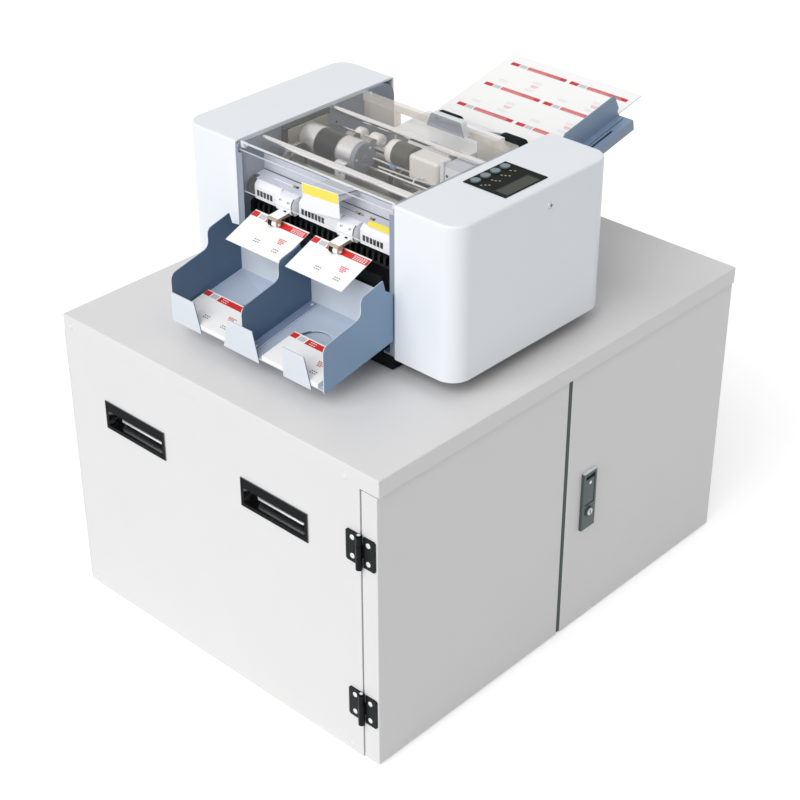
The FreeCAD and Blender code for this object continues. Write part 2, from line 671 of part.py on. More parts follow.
def housing(label, side):
    """Moulded side housing, open below and towards its side frame, round at the outer corners."""
    shell = Piece(label)
    inner, outer = f"({side}*inner_w/2)", f"({side}*(inner_w/2 + hous_x))"
    rear, wall = MACH_REAR, "hous_t"
    shell.pad("XY", HOUS_LOW, "hous_z",
              outline((inner, "mach_front"), (outer, "mach_front", "hous_rad"), (outer, rear, "hous_rad"),
                      (inner, rear)))
    height = num(HOUS_TOP)
    middle = abs(num(inner))
    shell.fillet("hous_edge", lambda edge: level_at(height)(edge)
                 and abs(edge.CenterOfMass.x) > middle + 1)
    open_x = f"({side}*(inner_w/2 - 2))"
    skin = f"({outer} - ({side})*{wall})"
    shell.pocket("XY", HOUS_LOW, f"hous_z - {wall}",
                 outline((open_x, f"mach_front + {wall}"),
                         (skin, f"mach_front + {wall}", f"hous_rad - {wall}"),
                         (skin, f"{rear} - {wall}", f"hous_rad - {wall}"), (open_x, f"{rear} - {wall}")),
                 reverse=True)
    return shell


def housings():
    right = housing("housing_right", "1")
    right.pocket("XY", HOUS_TOP, "2*hous_t",
                 rect("panel_x + 2", "panel_y + 2", "panel_w - 4", "panel_len - 4"))
    left = housing("housing_left", "-1")
    left.pocket("XZ", f"-({MACH_REAR}) + hous_t", "2*hous_t",
                rect(f"{INLET_X} - 24", f"{INLET_Z} - 14", 48, 28))
    node("housing_left", left.body)
    node("housing_right", right.body)


INLET_X = "(-inner_w/2 - hous_x/2 + 8)"
INLET_Z = f"({HOUS_LOW} + 34)"


def cross_rods():
    height = f"({HOUS_TOP} - rod_drop)"
    rods = [rod("X", f"-({FRAME_IN})", y, height, "rod_rad", f"2*{FRAME_IN}")
            for y in ("rod_front_y", "rod_rear_y")]
    node("cross_rods", gather(*rods))


# ------------------------------------------------------------------ gears
def involute(radius, base):
    """Involute angle at a radius, in radians."""
    pressure = math.acos(min(1.0, base / radius))
    return math.tan(pressure) - pressure


def gear(piece, teeth, at, width, phase):
    """Spur gear about the body's X axis; phase is the angle of one tooth from +Y, in degrees."""
    count, module = round(num(teeth)), num("gear_module")
    pitch = count * module / 2
    base = pitch * math.cos(math.radians(20))
    root, tip = pitch - 1.25 * module, pitch + module
    half_pitch = (math.pi * module / 2 - num("backlash")) / (2 * pitch) + involute(pitch, base)

    def flank(radius, side):
        angle = math.radians(phase) + side * (half_pitch - involute(max(radius, base), base))
        return Vec(radius * math.cos(angle), radius * math.sin(angle))

    def tooth(sketch):
        radii = (root - 0.6, max(root, base), tip)
        corners = [flank(radius, 1) for radius in radii] + [flank(radius, -1) for radius in radii[::-1]]
        for start, stop in zip(corners, corners[1:] + corners[:1]):
            sketch.addGeometry(Part.LineSegment(start, stop), False)

    piece.pad("YZ", at, width, circle(0, 0, f"{teeth}*gear_module/2 - 1.25*gear_module"))
    one = piece.pad("YZ", at, width, tooth)
    piece.ring(one, teeth)


def mesh_phase(own, own_teeth, own_phase, other, other_teeth):
    """Phase of a gear that meshes with a gear whose place, teeth and phase are known."""
    towards = math.degrees(math.atan2(other[1] - own[1], other[0] - own[0]))
    step = 360 / own_teeth
    offset = (towards - own_phase) / step
    fraction = offset - math.floor(offset)
    back = towards + 180
    other_step = 360 / other_teeth
    return back + other_step * (fraction - 0.5) if other_teeth else back


def solve_place(first, second, reach_first, reach_second):
    """Upper crossing of two circles, for a gear that meshes with two others."""
    gap = math.dist(first, second)
    along = (reach_first ** 2 - reach_second ** 2 + gap ** 2) / (2 * gap)
    across = math.sqrt(reach_first ** 2 - along ** 2)
    unit = ((second[0] - first[0]) / gap, (second[1] - first[1]) / gap)
    return (first[0] + along * unit[0] - across * unit[1], first[1] + along * unit[1] + across * unit[0])


def place_of(y, z):
    return (num(y), num(z))


MOTOR_AT = place_of("motor_y", MOTOR_Z)
CRANK_AT = place_of("crank_y", CRANK_Z)
FEED_MOTOR_AT = place_of("feed_motor_y", FEED_MOTOR_Z)
SLIT_UP_AT = place_of("slit_y", SLIT_UP_Z)
SLIT_LOW_AT = place_of("slit_y", SLIT_LOW_Z)
FEED_UP_AT = place_of("feed_y", FEED_UP_Z)
FEED_LOW_AT = place_of("feed_y", FEED_LOW_Z)
IDLER_AT = solve_place(SLIT_UP_AT, FEED_UP_AT, num(f"{SLIT_RAD} + {pitch_rad('idler_teeth')}"),
                       num(f"{FEED_RAD} + {pitch_rad('idler_teeth')}"))
IDLER_PLACE = (str(IDLER_AT[0]), str(IDLER_AT[1]))

GEAR_X = "(inner_w/2 + gear_out)"
LEFT_GEAR_X = "(-inner_w/2 - gear_out - gear_w)"


def meshed(own_at, own_teeth, own_phase, other_at, other_teeth):
    return mesh_phase(own_at, num(own_teeth), own_phase, other_at, num(other_teeth))


CRANK_PHASE = 0.0
MAIN_PHASE = meshed(CRANK_AT, "crank_teeth", CRANK_PHASE, MOTOR_AT, "motor_teeth")
SLIT_PHASE = 0.0
SLIT_LOW_PHASE = meshed(SLIT_UP_AT, "slit_teeth", SLIT_PHASE, SLIT_LOW_AT, "slit_teeth")
PINION_PHASE = meshed(SLIT_UP_AT, "slit_teeth", SLIT_PHASE, FEED_MOTOR_AT, "feed_pinion_teeth")
IDLER_PHASE = meshed(SLIT_UP_AT, "slit_teeth", SLIT_PHASE, IDLER_AT, "idler_teeth")
FEED_PHASE = meshed(IDLER_AT, "idler_teeth", IDLER_PHASE, FEED_UP_AT, "feed_teeth")
FEED_LOW_PHASE = meshed(FEED_UP_AT, "feed_teeth", FEED_PHASE, FEED_LOW_AT, "feed_teeth")


# ------------------------------------------------------------------ motors
def turned(piece, *steps):
    """Revolve a stepped profile of (start, end, radius) about the body's X axis."""
    points = [(steps[0][0], 0)]
    for start, stop, radius in steps:
        points += [(start, radius), (stop, radius)]
    points.append((steps[-1][1], 0))
    piece.revolve("XY", "X", outline(*points))


def main_motor():
    motor = Piece("main_motor").at(0, "motor_y", MOTOR_Z)
    start, end = f"(-({FRAME_IN}))", f"(-({FRAME_IN}) + motor_len)"
    turned(motor, (start, f"{end} - 3", "motor_rad"), (f"{end} - 3", end, "motor_rad - 1.5"))
    node("main_motor", motor.body)

    pinion = Piece("main_pinion").at(0, "motor_y", MOTOR_Z)
    turned(pinion, (f"{LEFT_GEAR_X} - 1", f"{start} - 0.3", "4"))
    gear(pinion, "motor_teeth", LEFT_GEAR_X, "gear_w", MAIN_PHASE)
    node("main_pinion", pinion.body)


FEED_MOTOR_START = "(-20)"
FEED_MOTOR_END = "66"


def feed_motor():
    """Feed motor with its gearbox, on a bracket from the right side frame."""
    motor = Piece("feed_motor").at(0, "feed_motor_y", FEED_MOTOR_Z)
    turned(motor, (FEED_MOTOR_START, "8", "feed_motor_rad"))
    motor.pad("YZ", 8, f"{FEED_MOTOR_END} - 8",
              rect("-feed_motor_rad", "-feed_motor_rad", "2*feed_motor_rad", "2*feed_motor_rad"))
    motor.pad("YZ", FEED_MOTOR_END, 2,
              rect("-feed_motor_rad - 2", "-feed_motor_rad - 2", "2*feed_motor_rad + 4",
                   "2*feed_motor_rad + 4"))
    motor.pad("YZ", f"{FEED_MOTOR_END} + 2", f"{FRAME_IN} - {FEED_MOTOR_END} - 2",
              rect("-feed_motor_rad - 2", "feed_motor_rad", "2*feed_motor_rad + 4", 2))
    motor.pocket("YZ", f"{FEED_MOTOR_START} - 1", f"{FEED_MOTOR_END} + 30", circle(0, 0, "3 + run_fit"),
                 reverse=True)
    node("feed_motor", motor.body)

    shaft = Piece("feed_motor_shaft").at(0, "feed_motor_y", FEED_MOTOR_Z)
    turned(shaft, ("-86", "-82", "3"), ("-82", "-70", "10"), ("-70", "-56", "5"), ("-56", "-42", "10"),
           ("-42", f"{GEAR_X} + gear_w", "3"))
    gear(shaft, "feed_pinion_teeth", GEAR_X, "gear_w", PINION_PHASE)
    node("feed_motor_shaft", shaft.body)


# ------------------------------------------------------------------ slitting and feeding
def shaft_steps(start, body_rad, end):
    """Shaft between the side frames with a thinner journal in each."""
    inner = f"({FRAME_IN} - 0.5)"
    if body_rad == "journal_rad":
        return [(start, end, body_rad)]
    return [(start, f"-{inner}", "journal_rad"), (f"-{inner}", inner, body_rad), (inner, end, "journal_rad")]


def blade_places():
    """Inner side of each blade: the two edges of both card columns."""
    return [f"({column} + {side}*card_w/2)" for column in COLUMNS for side in ("-1", "1")]


def slitter_shaft(label, height, phase, shift):
    shaft = Piece(label).at(0, "slit_y", height)
    turned(shaft, *shaft_steps("(-inner_w/2 - 3)", "journal_rad", f"{GEAR_X} + gear_w"))
    for place in blade_places():
        shaft.pad("YZ", f"{place} + {shift}", "blade_t", circle(0, 0, "blade_rad"))
    gear(shaft, "slit_teeth", GEAR_X, "gear_w", phase)
    node(label, shaft.body)


def feed_shaft(label, height, phase):
    shaft = Piece(label).at(0, "feed_y", height)
    turned(shaft, *shaft_steps("(-inner_w/2 - 3)", "journal_rad", f"{GEAR_X} + gear_w"))
    for start in ("-100", "48"):
        shaft.pad("YZ", start, 52, circle(0, 0, f"{FEED_RAD} - nip_gap/2"))
    gear(shaft, "feed_teeth", GEAR_X, "gear_w", phase)
    node(label, shaft.body)


def idler():
    wheel = Piece("idler_gear")
    wheel.body.Placement.Base = Vec(0, *IDLER_AT)
    turned(wheel, (f"{FRAME_IN} - 1", f"{GEAR_X} + gear_w", "3"))
    gear(wheel, "idler_teeth", GEAR_X, "gear_w", IDLER_PHASE)
    node("idler_gear", wheel.body)


PICK_Z = f"({DECK} + table_up + (pick_y - {MACH_REAR})*tan(table_angle*1deg) + page_t + pick_rad + 1.2)"


def pickup():
    """Pick-up arm that rocks about the upper feed shaft and carries two rubber rollers."""
    arm = Piece("pickup_arm")
    half, core, wall = "(arm_w/2)", "(arm_core/2)", "3"
    low_rad = "(journal_rad + 3.5)"
    side_view = outline((f"feed_y - {low_rad}", f"{FEED_UP_Z} - {low_rad}", 5),
                        (f"feed_y + {low_rad}", f"{FEED_UP_Z} - {low_rad}"),
                        ("pick_y - 4", f"{PICK_Z} - 9"), ("pick_y + 9", f"{PICK_Z} - 9", 7),
                        ("pick_y + 9", f"{PICK_Z} + 9", 8), ("arm_rear", f"{FEED_UP_Z} + 43", 8),
                        ("arm_front", f"{FEED_UP_Z} + 40", 5), (f"feed_y - {low_rad}", f"{FEED_UP_Z} + 9", 6))
    arm.pad("YZ", f"-{half}", "arm_w", side_view)
    arm.pocket("YZ", f"-{half} + {wall}", f"arm_w - 2*{wall}",
               outline((f"feed_y - {low_rad} - 2", f"{FEED_UP_Z} - {low_rad} - 2"),
                       ("pick_y + 20", f"{FEED_UP_Z} - {low_rad} - 2"), ("pick_y + 20", f"{PICK_Z} - 2"),
                       ("pick_y - 12", f"{PICK_Z} + 9"), ("arm_rear - 3", f"{FEED_UP_Z} + 40"),
                       ("arm_front + 2", f"{FEED_UP_Z} + 37"), ("feed_y + 5", f"{FEED_UP_Z} + 12"),
                       (f"feed_y - {low_rad} - 2", f"{FEED_UP_Z} + 4")), reverse=True)
    strip = f"({half} - {core} + 2)"
    trims = [rect(start, low, strip, f"{high} - ({low})")
             for start in (core, f"-{core} - {strip}")
             for low, high in (("feed_y - 20", "arm_front"), ("arm_rear + 2", "(pick_y + 20)"))]
    arm.pocket("XY", f"{FEED_UP_Z} + 60", 90, *trims)
    for start in (f"-{core}", f"({core} - {wall})"):
        arm.pad("YZ", start, wall, side_view)
    arm.pad("YZ", half, 12, circle("arm_rear - 11", f"{FEED_UP_Z} + 31", 8))
    arm.pocket("YZ", f"-{half} - 1", "arm_w + 2",
               circle("feed_y", FEED_UP_Z, "journal_rad + run_fit"),
               circle("pick_y", PICK_Z, "4 + run_fit"), reverse=True)
    node("pickup_arm", arm.body)

    rollers = Piece("pickup_rollers").at(0, "pick_y", PICK_Z)
    turned(rollers, ("-pick_x - pick_w/2 - 4", "pick_x + pick_w/2 + 4", "4"))
    for side in ("-1", "1"):
        rollers.pad("YZ", f"{side}*pick_x - pick_w/2", "pick_w", circle(0, 0, "pick_rad"))
    node("pickup_rollers", rollers.body)


DECK_BEND = "57"
DECK_REAR = "111"
RAMP = "0.1696"


def paper_deck():
    """Folded guide sheet with windows for the lower rollers and blades."""
    deck = Piece("paper_deck")
    top = f"({PAPER} - 0.2)"
    rise = f"(({DECK_REAR} - {DECK_BEND})*{RAMP})"
    deck.pad("YZ", f"-({FRAME_IN})", f"2*{FRAME_IN}",
             outline(("-98", f"{top} - deck_t"), (DECK_BEND, f"{top} - deck_t"),
                     (DECK_REAR, f"{top} + {rise} - deck_t"), (DECK_REAR, f"{top} + {rise}"),
                     (DECK_BEND, top), ("-98", top)))
    windows = [rect(f"{place} - 3", "slit_y - 12", 10, 24) for place in blade_places()]
    windows += [rect(start, f"feed_y - 9", 54, 18) for start in ("-101", "47")]
    deck.pocket("XY", f"{PAPER} + 1", 6, *windows)
    node("paper_deck", deck.body)


# ------------------------------------------------------------------ cross-cut knife
KNIFE_FACE = "(crank_y - 19.5)"


def knives():
    """Fixed knife, and the moving knife on two yokes round the eccentrics of the crank."""
    node("fixed_knife", box(f"-({FRAME_IN})", f"{KNIFE_FACE} + 0.2", f"{PAPER} - 17",
                            f"2*{FRAME_IN}", 8.3, 16.5))
    knife = Piece("moving_knife")
    sweep = "(disc_rad + throw + 0.3)"
    low = f"({CRANK_Z} - {sweep} - 5)"
    high = f"({CRANK_Z} + {sweep} + knife_travel + 4)"
    for side in ("-1", "1"):
        knife.pad("YZ", f"{side}*yoke_x - yoke_t/2", "yoke_t",
                  outline((KNIFE_FACE, f"{PAPER} + 6"), ("crank_y", f"{PAPER} + 6"), ("crank_y + 19.5", low),
                          ("crank_y + 19.5", high, 14), (KNIFE_FACE, high, 14)))
        knife.pocket("YZ", f"{side}*yoke_x - yoke_t/2 - 1", "yoke_t + 2",
                     outline((f"crank_y - {sweep}", f"{CRANK_Z} - {sweep}", f"{sweep} - 0.01"),
                             (f"crank_y + {sweep}", f"{CRANK_Z} - {sweep}", f"{sweep} - 0.01"),
                             (f"crank_y + {sweep}", f"{CRANK_Z} + {sweep} + knife_travel", f"{sweep} - 0.01"),
                             (f"crank_y - {sweep}", f"{CRANK_Z} + {sweep} + knife_travel", f"{sweep} - 0.01")),
                     reverse=True)
    reach = "(yoke_x + 14)"
    knife.pad("XZ", f"-({KNIFE_FACE})", 4.5,
              outline((f"-{reach}", f"{PAPER} + 3"), (reach, f"{PAPER} + 4.5"), (reach, f"{PAPER} + 25"),
                      (f"-{reach}", f"{PAPER} + 25")))
    node("moving_knife", knife.body)

    crank = Piece("knife_crank").at(0, "crank_y", CRANK_Z)
    turned(crank, *shaft_steps(f"{LEFT_GEAR_X}", "journal_rad", "(inner_w/2 + 3)"))
    for side in ("-1", "1"):
        crank.pad("YZ", f"{side}*yoke_x - yoke_t/2", "yoke_t", circle(0, "throw", "disc_rad"))
    gear(crank, "crank_teeth", LEFT_GEAR_X, "gear_w", CRANK_PHASE)
    node("knife_crank", crank.body)


# ------------------------------------------------------------------ card exit
GUARD_FACE = "(mach_front + 17)"


def exit_guards():
    """Slotted guards over and under the exit slot, and the sheet that covers the knife."""
    cover = Piece("knife_cover")
    nose, top = f"({PAPER} + 27)", f"({PAPER} + 29.7)"
    cover.pad("YZ", f"-({FRAME_IN})", f"2*{FRAME_IN}",
              outline((f"{GUARD_FACE} + 5", nose), (f"{GUARD_FACE} + 26", top),
                      (f"{GUARD_FACE} + 26", f"{top} + 21"), (f"{GUARD_FACE} + 24.8", f"{top} + 21"),
                      (f"{GUARD_FACE} + 24.8", f"{top} + 1.1"), (f"{GUARD_FACE} + 5", f"{nose} + 1.1")))
    node("knife_cover", cover.body)

    blocks = []
    for start, width, slots in (("-116", "43", "5"), ("-41", "67", "7"), ("58", "62", "6")):
        block = Piece("guard_block")
        block.pad("YZ", start, width,
                  outline((GUARD_FACE, f"{PAPER} + 4"), (f"{GUARD_FACE} + 6", f"{PAPER} + 4"),
                          (f"{GUARD_FACE} + 14", f"{PAPER} + 22"), (f"{GUARD_FACE} + 22", f"{top} - 6"),
                          (f"{GUARD_FACE} + 22", f"{top} - 0.8"), (f"{GUARD_FACE} + 5", f"{nose} - 0.05", 2),
                          (GUARD_FACE, f"{PAPER} + 22", 5)))
        slot = block.pocket("XZ", f"-({GUARD_FACE})", 2.5,
                            outline((f"{start} + 4", f"{PAPER} + 9"), (f"{start} + 7", f"{PAPER} + 9"),
                                    (f"{start} + 8.5", f"{PAPER} + 15"), (f"{start} + 5.5", f"{PAPER} + 15")),
                            reverse=False)
        block.row(slot, "X", f"({slots} - 1)*5.5", slots)
        blocks.append(block.body)
    node("upper_guards", gather(*blocks))

    comb = Piece("lower_guide")
    comb.pad("YZ", f"-({FRAME_IN})", f"2*{FRAME_IN}",
             outline((GUARD_FACE, f"{PAPER} - 16"), (f"{GUARD_FACE} + 24", f"{PAPER} - 16"),
                     (f"{GUARD_FACE} + 24", f"{PAPER} - 1"), (f"{GUARD_FACE} + 4", f"{PAPER} - 1"),
                     (GUARD_FACE, f"{PAPER} - 3")))
    tooth = comb.pocket("XZ", f"-({GUARD_FACE})", 5,
                        rect(f"-({FRAME_IN}) + 6", f"{PAPER} - 12", 6, 14), reverse=False)
    comb.row(tooth, "X", "26*9", "27")
    node("lower_guide", comb.body)


CLIP_DROP = "22.5"
ROLL_RAD = "4"
ROLL_Y = "(mach_front - 7.6)"
ROLL_Z = f"({PAPER} - 0.7)"


def clip_places():
    return [f"({column} - 3)" for column in COLUMNS]


def exit_clips():
    """Rounded brackets between the guards, each with a clip that holds an exit roller."""
    clips = []
    for middle in clip_places():
        clip = Piece("exit_clip")
        clip.pad("YZ", f"{middle} - 13", 26,
                 outline((f"{GUARD_FACE} + 3", f"{PAPER} + 4"), (f"{GUARD_FACE} + 12", f"{PAPER} + 18"),
                         (f"{GUARD_FACE} + 21", f"{PAPER} + 28.6"), (f"{GUARD_FACE} + 5", f"{PAPER} + 26.7", 3),
                         (f"{GUARD_FACE} - 9", f"{PAPER} + 24", 11), (f"{GUARD_FACE} - 9", f"{PAPER} + 4", 8)))
        clip.pad("YZ", f"{middle} - 8", 16,
                 outline((f"{GUARD_FACE} - 2", f"{PAPER} + 4"), (f"{GUARD_FACE} - 2", f"{PAPER} + 9"),
                         (f"{ROLL_Y} - 1", f"{ROLL_Z} + 7.5"), (f"{ROLL_Y} - 4.5", f"{ROLL_Z} + 5"),
                         (f"{ROLL_Y} + 1", f"{ROLL_Z} + 4.9")))
        for side in ("-8", "6.8"):
            clip.pad("YZ", f"{middle} + ({side})", 1.2,
                     outline((f"{ROLL_Y} - 4", f"{ROLL_Z} + 5.3"), (f"{ROLL_Y} + 5", f"{ROLL_Z} + 6"),
                             (f"{ROLL_Y} + 3", f"{ROLL_Z} - 2.2"), (f"{ROLL_Y} - 3.2", f"{ROLL_Z} - 2.2")))
        clip.pocket("YZ", f"{middle} - 9", 18, circle(ROLL_Y, ROLL_Z, "1.5 + run_fit"), reverse=True)
        clips.append(clip.body)
    node("exit_clips", gather(*clips))

    for label, middle in zip(("exit_roller_left", "exit_roller_right"), clip_places()):
        roller = Piece(label).at(middle, ROLL_Y, ROLL_Z)
        turned(roller, ("-9", "-6.4", "1.5"), ("-6.4", "6.4", ROLL_RAD), ("6.4", "9", "1.5"))
        node(label, roller.body)


# ------------------------------------------------------------------ clear cover
def clear_cover():
    """Clear lid on two hinge pins, its grip with a hollow for the fingers, and the fixed front window."""
    cover = Piece("clear_cover")
    half = f"({FRAME_IN} - cover_side)"
    front = f"({COVER_PIN_Y} - 2.5)"
    low = f"({HOUS_TOP} - cover_t)"
    cover.pad("XY", low, "cover_t", rect(f"-{half}", front, f"2*{half}", f"cover_rear - ({front})"))
    cover.pad("XY", f"{HOUS_TOP} - cover_skirt", "cover_skirt",
              rect(f"-{half}", "cover_rear - cover_t", f"2*{half}", "cover_t"))
    for side in ("-1", "1"):
        start = f"-{half}" if side == "-1" else f"({half} - 5)"
        cover.pad("YZ", start, 5,
                  outline((f"{COVER_PIN_Y} - 2.5", f"{low} + 0.5"),
                          (f"{COVER_PIN_Y} - 2.5", f"{COVER_PIN_Z} - 3.5", 2),
                          (f"{COVER_PIN_Y} + 4", f"{COVER_PIN_Z} - 3.5", 2),
                          (f"{COVER_PIN_Y} + 4", f"{low} + 0.5")))
        cover.pocket("YZ", f"-{half} - 1" if side == "-1" else f"({half} - 4)", 5,
                     circle(COVER_PIN_Y, COVER_PIN_Z, "2 + run_fit"), reverse=True)
    node("clear_cover", cover.body)

    grip = Piece("cover_handle")
    grip.pad("XZ", "-38", 9,
             outline(("5", HOUS_TOP), ("65", HOUS_TOP), ("59", f"{HOUS_TOP} + 18", 4),
                     ("12", f"{HOUS_TOP} + 18", 4)))
    grip.pocket("XZ", "-38 - 1", 8,
                outline(("15", f"{HOUS_TOP} + 3", 2), ("56", f"{HOUS_TOP} + 3", 2),
                        ("54", f"{HOUS_TOP} + 14.5", 2), ("17", f"{HOUS_TOP} + 14.5", 2)), reverse=True)
    node("cover_handle", grip.body)

    top = f"({COVER_PIN_Z} - 5)"
    node("front_window", box(f"-({FRAME_IN})", "mach_front + 2.7", f"{top} - window_h",
                             f"2*{FRAME_IN}", 2.5, "window_h"))


# ------------------------------------------------------------------ control panel
def control_panel():
    panel = Piece("control_panel")
    top = f"({HOUS_TOP} + 1)"
    panel.pad("XY", HOUS_TOP, 1, rect("panel_x", "panel_y", "panel_w", "panel_len"))
    panel.pad("XY", f"{HOUS_TOP} - panel_deep", "panel_deep",
              rect("panel_x + 2.2", "panel_y + 2.2", "panel_w - 4.4", "panel_len - 4.4"))
    panel.pocket("XY", top, "6 + button_travel",
                 *[circle(BUTTON_X, y, "button_rad + 0.3") for y in button_places()])
    panel.pocket("XY", top, 1.2, rect(LCD_X, LCD_Y, 18, 56))
    node("control_panel", panel.body)

    node("display_window", box(f"{LCD_X} + 0.1", f"{LCD_Y} + 0.1", f"{top} - 1.2", 17.8, 55.8, 1))
    for number, y in enumerate(button_places(), 1):
        button = Piece(f"push_button_{number}").at(BUTTON_X, y, f"{top} - 5.6")
        button.pad("XY", 0, 7, circle(0, 0, "button_rad"))
        node(f"push_button_{number}", button.body)


BUTTON_X = "(panel_x + button_in)"
LCD_X = "(panel_x + 42)"
LCD_Y = "(panel_y + 6)"


def button_places():
    return [f"(panel_y + panel_len/2 - 0.5 + ({k} - 1.5)*button_pitch)" for k in range(4)]


# ------------------------------------------------------------------ catch tray
TRAY_BACK = "(mach_front - 0.5)"
TRAY_Z = f"({DECK} + tray_up)"


def floor_at(y):
    """Height of the tray floor's top at a place along Y."""
    return f"({TRAY_Z} - ({TRAY_BACK} - ({y}))*tan(tray_angle*1deg))"


def wall_outline(foot):
    """Side of the tray: stepped twice in an S, with a notch beside the housing."""
    front = "tray_front"
    return outline((front, f"{floor_at(front)} + ({foot})"), (front, f"{DECK} + 80.5", 10),
                   (f"{front} + 59.5", f"{DECK} + 94", 10), (f"{front} + 59.5", f"{DECK} + 117.5", 8),
                   (f"{front} + 95", f"{DECK} + 126.5", 1.5), (f"{front} + 99", f"{DECK} + 111.5", 3),
                   (TRAY_BACK, f"{DECK} + 104"), (TRAY_BACK, f"{floor_at(TRAY_BACK)} + ({foot})"))


THUMB_PLACES = (("-44", "-218"), ("54", "-218"))


def tray():
    """Two-bin catch tray of folded sheet with S-shaped sides."""
    pan = Piece("tray_pan")
    pan.pad("YZ", f"-{TRAY_HALF}", f"2*{TRAY_HALF}",
            outline(("tray_front", f"{floor_at('tray_front')} - tray_t"),
                    ("tray_front", floor_at("tray_front")),
                    (f"{TRAY_BACK} - tray_t", floor_at(f"{TRAY_BACK} - tray_t")),
                    (f"{TRAY_BACK} - tray_t", f"{DECK} + 101"), (TRAY_BACK, f"{DECK} + 101"),
                    (TRAY_BACK, f"{floor_at(TRAY_BACK)} - tray_t")))
    for start in (f"-{TRAY_HALF}", f"{TRAY_HALF} - tray_t"):
        pan.pad("YZ", start, "tray_t", wall_outline("-4"))
    pan.pocket("XY", TRAY_Z, "40", *[circle(x, y, "thumb_rad") for x, y in THUMB_PLACES])
    hook_low = f"({DECK} + 92)"
    for start in ("-80", "60"):
        pan.pad("XZ", f"-({TRAY_BACK}) - 2.5", 2.5, rect(start, hook_low, 20, 4))
    low, high = f"({DECK} + 20)", f"({DECK} + lip_top)"
    for left_low, left_top, right_top, right_low in ((f"-{TRAY_HALF}", f"-{TRAY_HALF}", "-86", "-75"),
                                                     ("-37", "-28", "13", "23"), ("62", "62", "96", "107")):
        pan.pad("XZ", "-tray_front", "tray_t",
                outline((left_low, low), (right_low, low), (right_top, high), (left_top, high)))
    node("tray_pan", pan.body)

    divider = Piece("tray_divider")
    wall_x = "(-5 - tray_t/2)"
    divider.pad("YZ", wall_x, "tray_t", wall_outline("0.05"))
    divider.pad("YZ", f"{wall_x} + tray_t", 13,
                outline(("tray_front + 2", f"{floor_at('tray_front + 2')} + 0.05"),
                        (f"{TRAY_BACK} - 4", f"{floor_at(TRAY_BACK + ' - 4')} + 0.05"),
                        (f"{TRAY_BACK} - 4", f"{floor_at(TRAY_BACK + ' - 4')} + 0.05 + tray_t"),
                        ("tray_front + 2", f"{floor_at('tray_front + 2')} + 0.05 + tray_t")))
    divider.pocket("YZ", wall_x, "tray_t*2",
                   rect(f"{TRAY_BACK} - tray_t", f"{DECK}", 5, 101), reverse=True)
    node("tray_divider", divider.body)



# ------------------------------------------------------------------ feed table and stock
TABLE_Y = f"({MACH_REAR} + 1)"
TABLE_Z = f"({DECK} + table_up)"


def slope(run, rise, extra="0"):
    """Place on the feed table: distance along it, height square to it, drop straight down."""
    return (f"({TABLE_Y} + ({run})*cos(table_angle*1deg) - ({rise})*sin(table_angle*1deg))",
            f"({TABLE_Z} + ({run})*sin(table_angle*1deg) + ({rise})*cos(table_angle*1deg) - ({extra}))")


def feed_table():
    """Sloped feed table with side flanges and two brackets to the side frames."""
    table = Piece("feed_table")
    left = "(2 - page_half)"
    for start, width, reach in ((left, f"{TABLE_HALF} - {left}", "table_len"),
                                (f"-{TABLE_HALF}", f"{TABLE_HALF} + {left} + 1", "10")):
        table.pad("YZ", start, width,
                  outline(slope("0", "-tray_t"), slope(reach, "-tray_t"), slope(reach, "0"), slope("0", "0")))
    for start in (left, f"{TABLE_HALF} - tray_t"):
        table.pad("YZ", start, "tray_t",
                  outline(slope("0", "0"), slope("0", "-table_flange*2"),
                          slope("table_len*0.55", "-table_flange"),
                          slope("table_len", "-table_flange", "0"), slope("table_len", "0")))
    table.pocket("XY", f"{TABLE_Z} + 60", 90, rect(f"{TABLE_HALF} - 9.5", f"{TABLE_Y} + 68", 3, 62))
    for start, reach in ((f"(-({FRAME_IN}))", "9"), (f"({FRAME_IN} - 2)", "table_len*0.6")):
        table.pad("YZ", start, 2,
                  outline((f"{MACH_REAR} - 8", f"{TABLE_Z} - 70", 4),
                          (f"{MACH_REAR} + 8", f"{TABLE_Z} - 70", 4),
                          slope(reach, "-tray_t/2"), slope("2", "-tray_t/2"),
                          (f"{MACH_REAR} - 8", f"{TABLE_Z} - 6")))
    node("feed_table", table.body)

    guide = Piece("side_guide")
    wall = "(page_half + 1)"
    guide.pad("YZ", wall, 1.5,
              outline(slope("51", "0.4"), slope("164", "0.4"), slope("161", "8"), slope("164", "12"),
                      slope("158", "guide_h"), slope("60", "guide_h"), slope("51", "guide_h - 7")))
    guide.pad("YZ", f"{wall} + 1.5", 8,
              outline(slope("51", "0.4"), slope("160", "0.4"), slope("160", "1.9"), slope("51", "1.9")))
    node("side_guide", guide.body)


